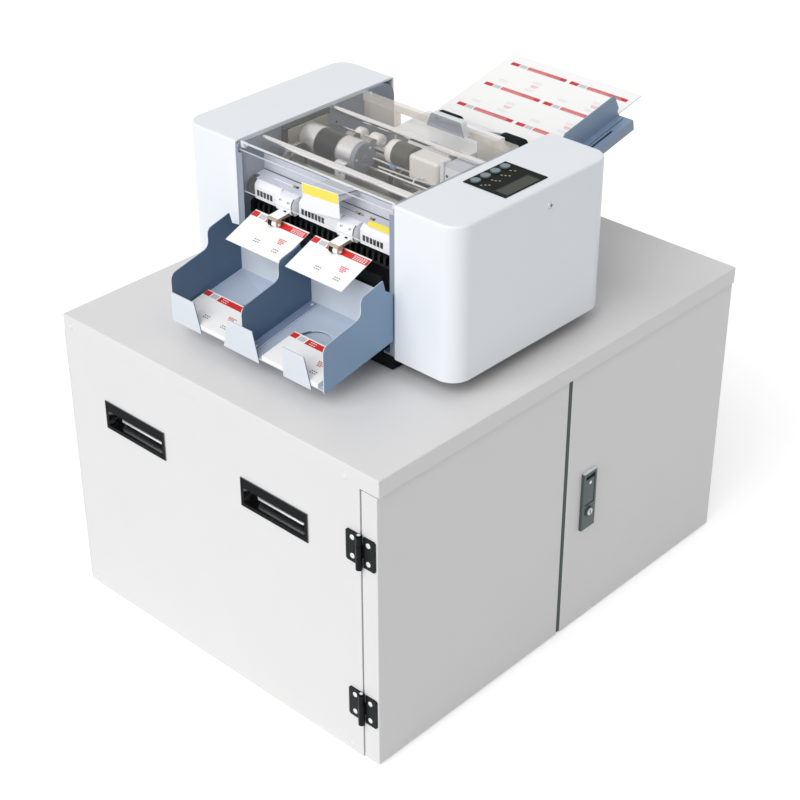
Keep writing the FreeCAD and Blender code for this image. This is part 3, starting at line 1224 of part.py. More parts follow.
def stock():
    """Sheet pile on the table, cards at the exit and cards in the bins."""
    pages = Piece("sheet_pile")
    tail_y, tail_z = slope("213", "0.3")
    bend_y = "58"
    nip_y = "feed_y + 9"
    start_z = f"({PAPER} + 0.3)"
    pages.pad("YZ", "-page_half", "2*page_half",
              outline((nip_y, start_z), (bend_y, start_z), slope("0", "0.35"), (tail_y, tail_z),
                      (tail_y, f"{tail_z} + page_t"),
                      (slope("0", "0.35")[0], f"{slope('0', '0.35')[1]} + page_t"),
                      (bend_y, f"{start_z} + page_t"), (nip_y, f"{start_z} + page_t")))
    node("sheet_pile", pages.body)

    cards = []
    drop, droop = f"(card_d*sin({CLIP_DROP}*1deg))", f"(card_d*cos({CLIP_DROP}*1deg))"
    for column in COLUMNS:
        card = Piece("exit_card")
        near_y, near_z = "(mach_front + 3)", f"({PAPER} - 0.9)"
        card.pad("YZ", f"{column} - card_w/2", "card_w",
                 outline((near_y, near_z), (near_y, f"{near_z} - card_t"),
                         (f"{near_y} - {droop}", f"{near_z} - {drop} - card_t"),
                         (f"{near_y} - {droop}", f"{near_z} - {drop}")))
        cards.append(card.body)
    front = "(tray_front + 0.2)"
    back = f"({front} + card_d*cos(tray_angle*1deg))"
    for left in ("-122", "26"):
        pile = Piece("bin_cards")
        pile.pad("YZ", left, "card_w",
                 outline((front, f"{floor_at(front)} + 0.05"), (back, f"{floor_at(back)} + 0.05"),
                         (back, f"{floor_at(back)} + 5"), (front, f"{floor_at(front)} + 5")))
        cards.append(pile.body)
    node("cut_cards", gather(*cards))


# ------------------------------------------------------------------ mains inlet
def mains_inlet():
    """Mains inlet with a rocker switch in the rear wall of the left housing."""
    inlet = Piece("mains_inlet")
    rear = f"-({MACH_REAR})"
    low = f"({INLET_Z} - 14)"
    inlet.pad("XZ", f"{rear} - 2", 2, rect(f"{INLET_X} - 28", f"{low} - 3", 56, 34))
    inlet.pad("XZ", rear, 22, rect(f"{INLET_X} - 23.8", f"{low} + 0.2", 47.6, 27.6))
    inlet.pocket("XZ", f"{rear} - 3", 18,
                 outline((f"{INLET_X} - 22", f"{low} + 5", 2), (f"{INLET_X} + 2", f"{low} + 5", 2),
                         (f"{INLET_X} + 2", f"{low} + 23", 5), (f"{INLET_X} - 22", f"{low} + 23", 5)),
                 reverse=True)
    inlet.pocket("XZ", f"{rear} - 3", 16, rect(f"{INLET_X} + 7", f"{low} + 3", 14, 22), reverse=True)
    inlet.pad("YZ", f"{INLET_X} + 6", 16, circle(*ROCKER_AT, "1.2"))
    for x, z in ((-14, 17), (-6, 17), (-10, 11)):
        inlet.pad("XZ", f"{rear} + 4", 12, rect(f"{INLET_X} + {x} - 1", f"{low} + {z} - 2", 2, 4))
    node("mains_inlet", inlet.body)

    rocker = Piece("power_rocker")
    pivot_y, pivot_z = ROCKER_AT
    rocker.pad("YZ", f"{INLET_X} + 7.3", 13.4,
               outline((f"{pivot_y} - 5", f"{pivot_z} - 9.5"), (f"{pivot_y} + 4.2", f"{pivot_z} - 9.5"),
                       (f"{pivot_y} + 2", f"{pivot_z}", 4), (f"{pivot_y} + 4.2", f"{pivot_z} + 9.5"),
                       (f"{pivot_y} - 5", f"{pivot_z} + 9.5")))
    rocker.pocket("YZ", f"{INLET_X} + 6", 16, circle(*ROCKER_AT, "1.2 + run_fit"), reverse=True)
    node("power_rocker", rocker.body)


ROCKER_AT = (f"({MACH_REAR} - 2)", INLET_Z)


# ------------------------------------------------------------------ build
cabinet_top()
cabinet_side("cabinet_front", "-1")
cabinet_side("cabinet_rear", "1")
cabinet_back()
cabinet_bottom()
carry_handles()
hinges()
doors()
lock()
base_chassis()
side_frames()
housings()
cross_rods()
main_motor()
feed_motor()
slitter_shaft("slitter_upper", SLIT_UP_Z, SLIT_PHASE, "0")
slitter_shaft("slitter_lower", SLIT_LOW_Z, SLIT_LOW_PHASE, "2.1")
feed_shaft("feed_upper", FEED_UP_Z, FEED_PHASE)
feed_shaft("feed_lower", FEED_LOW_Z, FEED_LOW_PHASE)
idler()
pickup()
paper_deck()
knives()
exit_guards()
exit_clips()
clear_cover()
control_panel()
tray()
feed_table()
stock()
mains_inlet()
doc.recompute()

faults = [f"{item.Name}: {item.State}" for item in doc.Objects
          if "Invalid" in item.State or "Error" in item.State]
faults += [f"{label}: bad shape" for label, item in nodes.items()
           if item.Shape.isNull() or not item.Shape.isValid() or not item.Shape.Solids]
if faults:
    raise SystemExit("failed objects:\n" + "\n".join(faults))

os.makedirs("parts", exist_ok=True)
for label, item in nodes.items():
    item.Shape.exportStep(f"parts/{label}.step")
    print(f"{label}: {len(item.Shape.Solids)} solid(s), {item.Shape.Volume / 1000:.2f} cm3")
print(len(nodes), "nodes")
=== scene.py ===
import json
import math
import bmesh
import bpy
from mathutils import Matrix, Vector


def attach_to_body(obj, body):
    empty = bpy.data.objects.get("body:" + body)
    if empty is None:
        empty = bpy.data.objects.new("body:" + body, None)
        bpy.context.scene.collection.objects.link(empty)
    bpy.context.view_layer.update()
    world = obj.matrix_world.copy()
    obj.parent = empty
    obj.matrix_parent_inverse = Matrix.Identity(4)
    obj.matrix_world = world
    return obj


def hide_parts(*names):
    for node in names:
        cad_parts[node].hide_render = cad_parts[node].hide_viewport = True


# Automatic business card cutter on its two-door cabinet.  Places are given in millimetres in the
# frame of the machine: +X to the operator's right, +Y to the feed side, +Z up, floor at 0.
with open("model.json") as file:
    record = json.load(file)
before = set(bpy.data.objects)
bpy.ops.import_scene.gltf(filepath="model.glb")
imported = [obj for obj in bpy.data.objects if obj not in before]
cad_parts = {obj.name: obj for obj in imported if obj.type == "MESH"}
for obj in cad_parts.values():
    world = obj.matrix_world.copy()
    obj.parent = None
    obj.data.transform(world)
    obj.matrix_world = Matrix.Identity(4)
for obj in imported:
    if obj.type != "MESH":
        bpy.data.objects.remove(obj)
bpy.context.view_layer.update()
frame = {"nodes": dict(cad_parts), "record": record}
HOME = {node: body for body, members in frame["record"]["behaviour"]["bodies"].items() for node in members}
FINISH = {part["node"]: part["material_slot"] for part in frame["record"]["subparts"]}
MM = 0.001
SHARP = 35  # degrees: edges that turn less than this are shaded smooth


# ---------------- colour and node helpers
def linear(code):
    """sRGB hex colour as a linear RGBA value."""
    parts = [int(code[k:k + 2], 16) / 255 for k in (1, 3, 5)]
    return tuple(c / 12.92 if c <= 0.04045 else ((c + 0.055) / 1.055) ** 2.4 for c in parts) + (1.0,)


def step(tree, kind, settings=None, links=None):
    """Add a node, set its attributes or input values, and link outputs into its inputs."""
    node = tree.nodes.new(kind)
    for name, value in (settings or {}).items():
        if isinstance(name, str) and hasattr(node, name):
            setattr(node, name, value)
        else:
            node.inputs[name].default_value = value
    for name, source in (links or {}).items():
        tree.links.new(source, node.inputs[name])
    return node


def sockets(material):
    """Inputs of a material's Principled shader."""
    return material.node_tree.nodes["Principled BSDF"].inputs


def surface(name, colour, roughness, metallic=0.0, specular=0.5, ior=1.5):
    """Principled material of one colour."""
    material = bpy.data.materials.new(name)
    material.use_nodes = True
    for socket, value in (("Base Color", linear(colour)), ("Roughness", roughness), ("Metallic", metallic),
                          ("Specular IOR Level", specular), ("IOR", ior)):
        sockets(material)[socket].default_value = value
    return material


def cloud(tree, size_mm, detail, stretch=(1, 1, 1)):
    """Noise on the piece's own coordinates, with patches of a given real size."""
    place = step(tree, "ShaderNodeTexCoord")
    turn = step(tree, "ShaderNodeMapping", {"Scale": stretch}, {"Vector": place.outputs["Object"]})
    noise = step(tree, "ShaderNodeTexNoise", {"Scale": 1 / (size_mm * MM), "Detail": detail},
                 {"Vector": turn.outputs["Vector"]})
    return noise.outputs["Fac"]


def grain(material, size_mm, height_mm, stretch=(1, 1, 1)):
    """Fine relief of a given real size on the surface normal."""
    tree = material.node_tree
    bump = step(tree, "ShaderNodeBump", {"Distance": height_mm * MM},
                {"Height": cloud(tree, size_mm, 2.0, stretch)})
    tree.links.new(bump.outputs["Normal"], sockets(material)["Normal"])


def mottle(material, other, size_mm):
    """Slow change of tone between a material's own colour and one close to it."""
    tree = material.node_tree
    own = sockets(material)["Base Color"]
    blend = step(tree, "ShaderNodeMix", {"data_type": "RGBA", 6: tuple(own.default_value), 7: linear(other)},
                 {0: cloud(tree, size_mm, 3.0)})
    tree.links.new(blend.outputs[2], own)


# ---------------- materials
# Marks of grinding, brushing, hobbing and spinning are too fine to show, so they are drawn coarser,
# 0.5 to 0.9 mm apart.

# Polyester powder coat, sprayed and baked, on the cabinet: an even light grey whose fine orange peel
# only breaks up the highlight.
powder_coat = surface("powder_coated_steel", "#DDDCDC", 0.42)
mottle(powder_coat, "#DAD9D9", 60)
grain(powder_coat, 1.6, 0.03)

# Two-part paint sprayed on the housings: cooler and smoother than the cabinet, with a softer peel.
housing_paint = surface("satin_painted_housing", "#E7EBF0", 0.34)
mottle(housing_paint, "#E4E8ED", 90)
grain(housing_paint, 2.2, 0.02)

# Moulded gloss ABS of the recessed handles: black and glossy; the bright streak along the cup's curved back
# is a painted highlight, a pale wire drawn there.
gloss_abs = surface("gloss_black_abs", "#0B0B0C", 0.16, ior=2.5)

# The rim and flat band of the same moulding are spark-eroded, so they throw back very little.
rim_abs = surface("textured_black_abs", "#080C0E", 0.5, specular=0.08)
grain(rim_abs, 0.9, 0.02)

# Black stoving lacquer of the die-cast hinges: dense and half matt, so only the rivets stand out.
hinge_lacquer = surface("black_hinge_lacquer", "#060A0C", 0.4, specular=0.15)
grain(hinge_lacquer, 1.2, 0.03)

# Zinc die-cast with a satin nickel plate on the lock: a mid grey metal with a broad, soft highlight.
satin_nickel = surface("satin_nickel_zinc", "#525C5C", 0.42, 0.5)
grain(satin_nickel, 0.8, 0.01)

# Sprayed matt black paint of the chassis: it hides under the machine.
chassis_paint = surface("matt_black_chassis_paint", "#0E1113", 0.6, specular=0.15)
grain(chassis_paint, 1.5, 0.03)

# Moulded nitrile rubber of the feet and rollers: no highlight, slightly dusty.
rubber = surface("nitrile_rubber", "#16201F", 0.7, specular=0.15)
grain(rubber, 0.7, 0.03)

# Stoving lacquer of the catch tray: an even blue grey with a soft sheen on its outer walls.
blue_lacquer = surface("blue_grey_lacquer", "#7C98B6", 0.36)
mottle(blue_lacquer, "#7A95B2", 70)
grain(blue_lacquer, 2.0, 0.02)

# A painted shade copy of the tray's lacquer for the walls that face into the bins: a deeper blue that keeps
# the bins dark.
bin_wall_painted_shade = surface("blue_lacquer_painted_shade", "#516C87", 0.4)
mottle(bin_wall_painted_shade, "#4D6883", 70)
grain(bin_wall_painted_shade, 2.0, 0.02)

# Slate lacquer of the feed table and its guide: greyer than the tray.
table_lacquer = surface("slate_table_lacquer", "#7C91AA", 0.38)
mottle(table_lacquer, "#788DA5", 70)

# A painted light copy of the tray's lacquer for its upward faces, the bins' floors: a light blue with a
# slightly brighter sheen.
floor_painted_light = surface("blue_lacquer_painted_top_light", "#B6C2D4", 0.34)
mottle(floor_painted_light, "#B2BED0", 70)

# A painted light copy of the tray's lacquer for the divider's upward faces, its narrow top flange: slate
# blue, a step darker than the floors beside it.
flange_painted_light = surface("blue_lacquer_flange_painted_light", "#8694B2", 0.34)
mottle(flange_painted_light, "#8290AE", 70)

# Painted light: the tray's faces that look to front or back, its back wall and front lips, get the palest and
# smoothest copy of the lacquer, for the light they catch.
front_back_painted_light = surface("blue_lacquer_painted_front_light", "#D7DDE5", 0.3)
mottle(front_back_painted_light, "#D3D9E1", 70)
grain(front_back_painted_light, 2.0, 0.02)

# Grey lacquer of the side plates inside the machine: half matt, so the bright parts stand out.
plate_lacquer = surface("grey_side_plate_lacquer", "#8A93A2", 0.4)
grain(plate_lacquer, 1.8, 0.02)

# Hard chromium on ground shafts: a pale mirror that is only slightly spread.
chrome = surface("hard_chrome", "#F0F1F2", 0.14, 1.0)

# Hobbed steel of the gears: fine tool marks keep it silvery rather than mirror-like.
gear_steel = surface("hobbed_gear_steel", "#A6A5A2", 0.32, 1.0)
grain(gear_steel, 0.5, 0.01)

# Spun aluminium of the motor ends: turning marks spread the light, so it looks pale and silky.
spun_aluminium = surface("spun_aluminium", "#DCDDDF", 0.34, 0.75)
grain(spun_aluminium, 0.9, 0.01, stretch=(6, 1, 1))

# Sprayed lacquer of the sheet over the knife: a flat, pale grey.
sheet_lacquer = surface("pale_grey_sheet_lacquer", "#CDD1DC", 0.35)
grain(sheet_lacquer, 1.4, 0.02)

# Ground tool steel of the blades: fine marks across the edge draw out the highlight.
tool_steel = surface("ground_tool_steel", "#BBBDBF", 0.24, 1.0)
grain(tool_steel, 0.6, 0.008, stretch=(0.1, 1, 1))

# Brushed stainless sheet of the paper deck: long marks across the machine blur what it reflects.
brushed_steel = surface("brushed_stainless_sheet", "#B4B3B0", 0.42, 0.7)
grain(brushed_steel, 0.5, 0.012, stretch=(0.03, 1, 1))

# White paint sprayed on the guards, clips and small stays: bright, with a light peel.
guard_paint = surface("white_guard_paint", "#F2F5F8", 0.3)
grain(guard_paint, 1.4, 0.02)

# Moulded nylon of the gearbox, rollers and knobs: a warm matt white.
white_nylon = surface("white_nylon", "#F0EFEB", 0.45)
grain(white_nylon, 0.8, 0.02)

# Moulded black acetal of the comb guides: dull and waxy, with hardly a highlight.
black_acetal = surface("black_acetal", "#0D1314", 0.42, specular=0.2)

# Black paint on the steel band round the main motor: one narrow highlight along its top.
motor_band = surface("black_painted_motor_band", "#17181A", 0.3, specular=0.35)


def see_through(name, colour, veil, gloss, shine_edge, tint):
    """Thin clear plastic: a tinted view through it, a veil of its own colour and a reflection by angle."""
    face_on, falloff = 0.012, 4.0
    material = surface(name, colour, gloss)
    tree = material.node_tree
    window = step(tree, "ShaderNodeBsdfTransparent", {"Color": linear(tint)})
    shine = step(tree, "ShaderNodeBsdfGlossy", {"Color": (1, 1, 1, 1), "Roughness": gloss})
    facing = step(tree, "ShaderNodeLayerWeight")
    steep = step(tree, "ShaderNodeMath", {"operation": "POWER", 1: falloff}, {0: facing.outputs["Facing"]})
    angle = step(tree, "ShaderNodeMath", {"operation": "MULTIPLY_ADD", 1: shine_edge, 2: face_on},
                 {0: steep.outputs[0]})
    own = tree.nodes["Principled BSDF"].outputs[0]
    veiled = step(tree, "ShaderNodeMixShader", {0: veil}, {1: window.outputs[0], 2: own})
    whole = step(tree, "ShaderNodeMixShader", None,
                 {0: angle.outputs[0], 1: veiled.outputs[0], 2: shine.outputs[0]})
    tree.links.new(whole.outputs[0], tree.nodes["Material Output"].inputs["Surface"])
    return material


# Cast acrylic of the lid: clear and polished, with a faint veil of wiping marks.
clear_acrylic = see_through("clear_cast_acrylic", "#E4E2E0", 0.01, 0.05, 0.25, "#FAF9F8")

# The lid's upright rear wall carries a warm grey veil of its own colour: a painted reflection.
reflection_veiled_acrylic = see_through("acrylic_with_painted_reflection", "#EDE8E2", 0.46, 0.25, 0.3, "#F4F1EE")

# The fixed window is thinner and clearer, with a stronger reflection at a slant.
window_acrylic = see_through("clear_window_acrylic", "#F4F6F8", 0.02, 0.05, 0.4, "#FEFEFF")

# Cut edges of the lid and window: sawn, so they are frosted white. The same white on the thick bends of the
# grip is a painted highlight.
frosted_edge_and_bend_highlight = see_through("frosted_edge_and_painted_highlight", "#EEF3F4", 0.72, 0.3, 0.7, "#F2F6F6")

# Hot-folded acrylic of the grip, seen through two walls: a cool grey.
acrylic_grip = see_through("folded_acrylic_grip", "#A6A8B0", 0.5, 0.1, 0.7, "#DCDDE3")

# Polyester film of the key panel: deep black with a soft gloss.
panel_film = surface("black_polyester_film", "#0A0F0F", 0.45, specular=0.05)

# Grey-green tinted acrylic over the switched-off display: a shade lighter than the film round it.
display_tint = surface("tinted_display_window", "#33372F", 0.3, specular=0.15)

# Moulded silicone of the keys: matt grey, with a lighter disc as each key's face.
key_silicone = surface("grey_silicone_key", "#5A666B", 0.55)
key_face = surface("moulded_key_face", "#75848A", 0.5)

# Ink screen-printed on the film: a dark frame round the display and amber ticks beside the keys.
display_rim = surface("printed_display_frame", "#1F2423", 0.4, specular=0.2)
legend_ink = surface("amber_legend_ink", "#B9A57A", 0.5)

# Moulded black PBT of the mains inlet: half matt.
inlet_pbt = surface("black_pbt", "#131414", 0.45, specular=0.2)

# Coated paper stock of the sheets and cards: white with a faint sheen.
coated_paper = surface("coated_card_stock", "#F4F4F3", 0.5)

# Offset inks of the cards' bars, patches and lines: thin, so they keep the paper's sheen.
red_ink = surface("red_offset_ink", "#D8291F", 0.5)
mottle(red_ink, "#CC2620", 5)
grey_ink = surface("grey_offset_ink", "#C3C6C9", 0.5)
dark_ink = surface("dark_offset_ink", "#4A4C52", 0.5)

# Inks of the sheets' small bars: a deeper red.  The halftone's dots are too fine to show, so they are
# drawn as clouds of 3 mm.
sheet_ink = surface("deep_red_offset_ink", "#C11E26", 0.5)
pink_ink = surface("halftone_red_ink", "#E99B95", 0.5)
halftone_ink = surface("dense_halftone_ink", "#DC5D55", 0.5)
mottle(halftone_ink, "#BD2A2C", 3)

# Rolled vinyl of the blank label plates: a yellow band over a white field, both flat and even.
yellow_vinyl = surface("yellow_vinyl", "#F5E22A", 0.42)
white_vinyl = surface("white_vinyl", "#F2F3F3", 0.42)

# Turned brass of the guards' pins: small, warm points of light.
brass = surface("turned_brass", "#BFA45A", 0.35, 0.8)

# Moulded polyamide caps over the cabinet's screws: they all but vanish against the powder coat.
cream_cap = surface("cream_polyamide_cap", "#DCDDDE", 0.4)

# Olive-grey lacquer of the feed motor's can: dark and half matt between white nylon.
feed_can_paint = surface("olive_grey_can_lacquer", "#4D4E45", 0.38)

# Aluminium rivet heads and zinc-plated screws: bright and slightly dulled by handling.
rivet_aluminium = surface("rivet_aluminium", "#DDE2E3", 0.35, 0.35)
zinc_screw = surface("zinc_plated_screw", "#C9CCCF", 0.32, 0.8)

# The shadowed inside of slots, recesses and small holes: near black, without a highlight.
recess_black = surface("recess_black", "#0B0F10", 0.8, specular=0.05)

# Painted shade in the gap between the doors: a matt grey strip that reads as a shadow.
door_gap_shade = surface("door_gap_painted_shade", "#59625F", 0.75, specular=0.2)

# Glass-epoxy circuit board under a green solder mask: dark green, clouded by its tracks and parts.
board_mask = surface("green_solder_mask", "#1F4438", 0.35)
mottle(board_mask, "#2B302C", 6)

# Phosphor bronze of the exit clips, dulled to a tan.
bronze = surface("phosphor_bronze", "#B9AA96", 0.42, 0.4)

# Moulded nylon of the wire connector and extruded PVC of the wire sleeves: small spots of colour.
connector_nylon = surface("blue_nylon_connector", "#7CB0D0", 0.45)
wire_sleeve = surface("white_pvc_sleeve", "#D9D9D6", 0.4)
red_sleeve = surface("red_pvc_sleeve", "#A8392F", 0.4)

# Pressed phenolic plate behind the main motor: a warm grey with a faint cloud.
phenolic = surface("grey_phenolic_plate", "#A39E93", 0.5)
mottle(phenolic, "#8E8A80", 25)

MATERIALS = {
    "cabinet_paint": powder_coat, "handle_black": gloss_abs, "hinge_black": hinge_lacquer,
    "lock_metal": satin_nickel, "chassis_black": chassis_paint, "foot_rubber": rubber,
    "frame_paint": plate_lacquer, "housing_paint": housing_paint, "bright_steel": chrome,
    "gear_steel": gear_steel, "motor_metal": spun_aluminium, "gearbox_white": white_nylon,
    "knife_steel": tool_steel, "roller_rubber": rubber, "deck_steel": brushed_steel,
    "guard_white": guard_paint, "guide_black": black_acetal, "clip_metal": guard_paint,
    "clear_sheet": clear_acrylic, "panel_black": panel_film, "display_glass": display_tint,
    "button_grey": key_silicone, "inlet_black": inlet_pbt, "tray_paint": blue_lacquer,
    "paper_print": coated_paper,
}


# ---------------- pieces
def listed(name, data):
    """New object in the scene."""
    thing = bpy.data.objects.new(name, data)
    bpy.context.scene.collection.objects.link(thing)
    return thing


def attach(thing, body):
    """Let a finished piece ride on its body."""
    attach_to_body(thing, body)


def smooth(mesh, angle=SHARP):
    """Shade a mesh smooth up to an angle, degrees."""
    mesh.shade_smooth()
    mesh.set_sharp_from_angle(angle=math.radians(angle))


def round_off(thing, edge, angle=SHARP):
    """Break the sharp edges by a small radius, mm."""
    bevel = thing.modifiers.new("fine_edges", "BEVEL")
    bevel.width = edge * MM
    bevel.segments = 2
    bevel.limit_method = "ANGLE"
    bevel.angle_limit = math.radians(angle)
    bevel.harden_normals = True


def dress(node, edge, tones):
    """Smooth, finely rounded copy of a CAD node's surface, which stands for that node."""
    merge, flat = 0.02 * MM, math.radians(0.6)
    mesh = frame["nodes"][node].data.copy()
    mesh.name = f"{node}_skin"
    mesh.materials.clear()
    mesh.materials.append(MATERIALS[FINISH[node]])
    work = bmesh.new()
    work.from_mesh(mesh)
    bmesh.ops.remove_doubles(work, verts=work.verts, dist=merge)
    bmesh.ops.dissolve_limit(work, angle_limit=flat, verts=work.verts, edges=work.edges)
    for face in work.faces:
        face.material_index = next((k for k, (_, chosen) in enumerate(tones, 1) if chosen(face)), 0)
    work.to_mesh(mesh)
    work.free()
    for tone, _ in tones:
        mesh.materials.append(tone)
    smooth(mesh)
    skin = listed(mesh.name, mesh)
    if edge:
        round_off(skin, edge)
    attach(skin, HOME[node])
    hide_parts(node)
    return skin


# Radii of the broken edges, mm, and the pieces that have them.
EDGES = {node: radius for radius, nodes in (
    (0.8, "cabinet_top door_front door_rear"), (0.6, "pickup_arm"), (0.5, "cabinet_front cabinet_rear"),
    (0.4, "side_frame_left side_frame_right control_panel lock_plate upper_guards"),
    (0.3, "tray_pan tray_divider feed_table side_guide exit_clips"),
    (0.3, "hinge_leaves_fixed door_front_hinges door_rear_hinges"), (0.2, "knife_cover"),
) for node in nodes.split()}

# Tones go to faces by the way they face and by where they stand, metres: the tray's outer right wall,
# the lid's rear wall, the handles' outer face and the clips' noses.  By facing, the tray's tones are painted
# light and shade.
TRAY_WALL_X, LID_REAR_Y, HANDLE_FACE_Y, CLIP_NOSE_Y = 0.11, 0.05, 0.3275, -0.157
LOOKS = 0.7  # share of a face's normal along an axis, from which it looks that way
CUT_EDGE = 5.2  # mm: a sawn edge is narrower than this


def middle(face):
    """Middle point of a face."""
    return face.calc_center_median()


def cut_edge(face):
    """True for a face that is nowhere wider than a cut edge."""
    longest = max((b.co - a.co).length for a in face.verts for b in face.verts)
    return face.calc_area() / longest < CUT_EDGE * MM


# Painted light and shade on the tray: its walls get a painted shade tone inside the bins, its floor a painted
# lit tone, its back and lips the palest painted lit tone.
tray_tones = ((bin_wall_painted_shade, lambda face: face.normal.x > LOOKS and middle(face).x < TRAY_WALL_X),
              (floor_painted_light, lambda face: face.normal.z > LOOKS),
              (front_back_painted_light, lambda face: abs(face.normal.x) < LOOKS))
divider_tones = ((bin_wall_painted_shade, lambda face: face.normal.x > LOOKS),
                 (flange_painted_light, lambda face: face.normal.z > LOOKS),
                 (front_back_painted_light, lambda face: abs(face.normal.x) < LOOKS))
clear_tones = ((frosted_edge_and_bend_highlight, cut_edge),
               (reflection_veiled_acrylic, lambda face: abs(face.normal.y) > 0.9 and middle(face).y > LID_REAR_Y))
rims = ((rim_abs, lambda face: abs(face.normal.y) > 0.99 and abs(middle(face).y) > HANDLE_FACE_Y),)
TONES = {
    "tray_pan": tray_tones, "tray_divider": divider_tones,
    "clear_cover": clear_tones, "front_window": clear_tones,
    # The grip's bends take the frosted edge tone as a painted highlight.
    "cover_handle": ((frosted_edge_and_bend_highlight, lambda face: abs(face.normal.y) < 0.5),),
    "exit_clips": ((bronze, lambda face: middle(face).y < CLIP_NOSE_Y),),
    "carry_handles_front": rims, "carry_handles_rear": rims,
}
MADE_BELOW = ("main_motor", "feed_motor")
skins = {node: dress(node, EDGES.get(node, 0.0), TONES.get(node, ()))
         for node in frame["nodes"] if node not in MADE_BELOW}
for node, material in (("cover_handle", acrylic_grip), ("front_window", window_acrylic),
                       ("feed_table", table_lacquer), ("side_guide", table_lacquer),
                       ("knife_cover", sheet_lacquer)):
    skins[node].data.materials[0] = material


def fold(skin, x, y, radius):
    """Give an upright edge of folded sheet its real bending radius, mm."""
    tall, near = 50 * MM, 0.2 * MM
    work = bmesh.new()
    work.from_mesh(skin.data)
    bent = [edge for edge in work.edges
            if abs(edge.verts[0].co.z - edge.verts[1].co.z) > tall
            and all(abs(v.co.x - x * MM) < near and abs(v.co.y - y * MM) < near for v in edge.verts)]
    bmesh.ops.bevel(work, geom=bent, offset=radius * MM, segments=6, profile=0.5, affect="EDGES")
    work.to_mesh(skin.data)
    work.free()
    smooth(skin.data)


def flatten_light(skin):
    """Let the wide flat faces keep one even tone beside their narrow folds."""
    even = skin.modifiers.new("even_faces", "WEIGHTED_NORMAL")
    even.keep_sharp = True


# The doors meet in a soft, shaded fold: its outer corner, and the inner one a sheet's thickness in.
DOOR_FACE, DOOR_EDGE, DOOR_SHEET, FOLD_RADIUS = 262, 1.6, 1.5, 3.6
for node, side in (("door_front", -1), ("door_rear", 1)):
    for inset in (0, DOOR_SHEET):
        fold(skins[node], DOOR_FACE - inset, side * (DOOR_EDGE + inset), FOLD_RADIUS - inset)
    flatten_light(skins[node])


# ---------------- shapes, in mm
def block(low, high):
    """Closed box between two corners."""
    (a, b, c), (d, e, f) = low, high
    return ([(x, y, z) for x in (a, d) for y in (b, e) for z in (c, f)],
            [(0, 1, 3, 2), (4, 6, 7, 5), (0, 4, 5, 1), (2, 3, 7, 6), (0, 2, 6, 4), (1, 5, 7, 3)])


def prism(corners, push):
    """Closed plate: a flat outline and its copy, moved by push."""
    count = len(corners)
    near = [tuple(corner) for corner in corners]
    far = [tuple(a + b for a, b in zip(corner, push)) for corner in corners]
    sides = [(k, (k + 1) % count, (k + 1) % count + count, k + count) for k in range(count)]
    return near + far, [tuple(range(count))[::-1], tuple(range(count, 2 * count))] + sides


def circle(centre, first, second, radius, sides):
    """Points round a centre, in the plane of two directions."""
    sweeps = [2 * math.pi * k / sides for k in range(sides)]
    return [tuple(centre + (first * math.cos(sweep) + second * math.sin(sweep)) * radius) for sweep in sweeps]


def tube(rings):
    """Closed skin over a row of circles of equally many points."""
    sides = len(rings[0])
    last = (len(rings) - 1) * sides
    faces = []
    for base in range(0, last, sides):
        for k in range(sides):
            a, b = base + k, base + (k + 1) % sides
            faces.append((a, b, b + sides, a + sides))
    ends = [tuple(range(sides))[::-1], tuple(range(last, last + sides))]
    return [point for ring in rings for point in ring], faces + ends


def turned(start, along, profile, sides=48):
    """Closed turned part: (distance, radius) steps along an axis from start."""
    axis = Vector(along).normalized()
    first = axis.orthogonal().normalized()
    second = axis.cross(first)
    return tube([circle(Vector(start) + axis * distance, first, second, radius, sides)
                 for distance, radius in profile])


def wire(path, radius, sides=10):
    """Round bar or wire along a path, with closed ends."""
    points = [Vector(point) for point in path]
    first = (points[1] - points[0]).orthogonal().normalized()
    rings = []
    for before, point, after in zip(points[:1] + points, points, points[1:] + points[-1:]):
        axis = (after - before).normalized()
        first = (first - axis * first.dot(axis)).normalized()
        rings.append(circle(point, first, axis.cross(first), radius, sides))
    return tube(rings)


def made(name, host, material, shapes, edge=0.0, angle=SHARP, stands_for=()):
    """Gather closed shapes into one piece; host is the CAD node whose body it rides on."""
    verts, faces = [], []
    for points, sides in shapes:
        base = len(verts)
        verts += [tuple(c * MM for c in point) for point in points]
        faces += [tuple(base + k for k in side) for side in sides]
    mesh = bpy.data.meshes.new(name)
    mesh.from_pydata(verts, [], faces)
    work = bmesh.new()
    work.from_mesh(mesh)
    bmesh.ops.recalc_face_normals(work, faces=work.faces)
    work.to_mesh(mesh)
    work.free()
    mesh.materials.append(material)
    smooth(mesh, angle)
    thing = listed(name, mesh)
    if edge:
        round_off(thing, edge, angle)
    attach(thing, HOME[host])
    if stands_for:
        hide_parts(*stands_for)


# ---------------- repeated parts
def repeat_tree(name, sizes):
    """Geometry Nodes tree that starts from places and has one named number for each size."""
    tree = bpy.data.node_groups.new(name, "GeometryNodeTree")
    tree.interface.new_socket("Places", in_out="INPUT", socket_type="NodeSocketGeometry")
    for label in sizes:
        tree.interface.new_socket(label, in_out="INPUT", socket_type="NodeSocketFloat")
    tree.interface.new_socket("Finish", in_out="INPUT", socket_type="NodeSocketMaterial")
    tree.interface.new_socket("Parts", in_out="OUTPUT", socket_type="NodeSocketGeometry")
    return tree, step(tree, "NodeGroupInput")


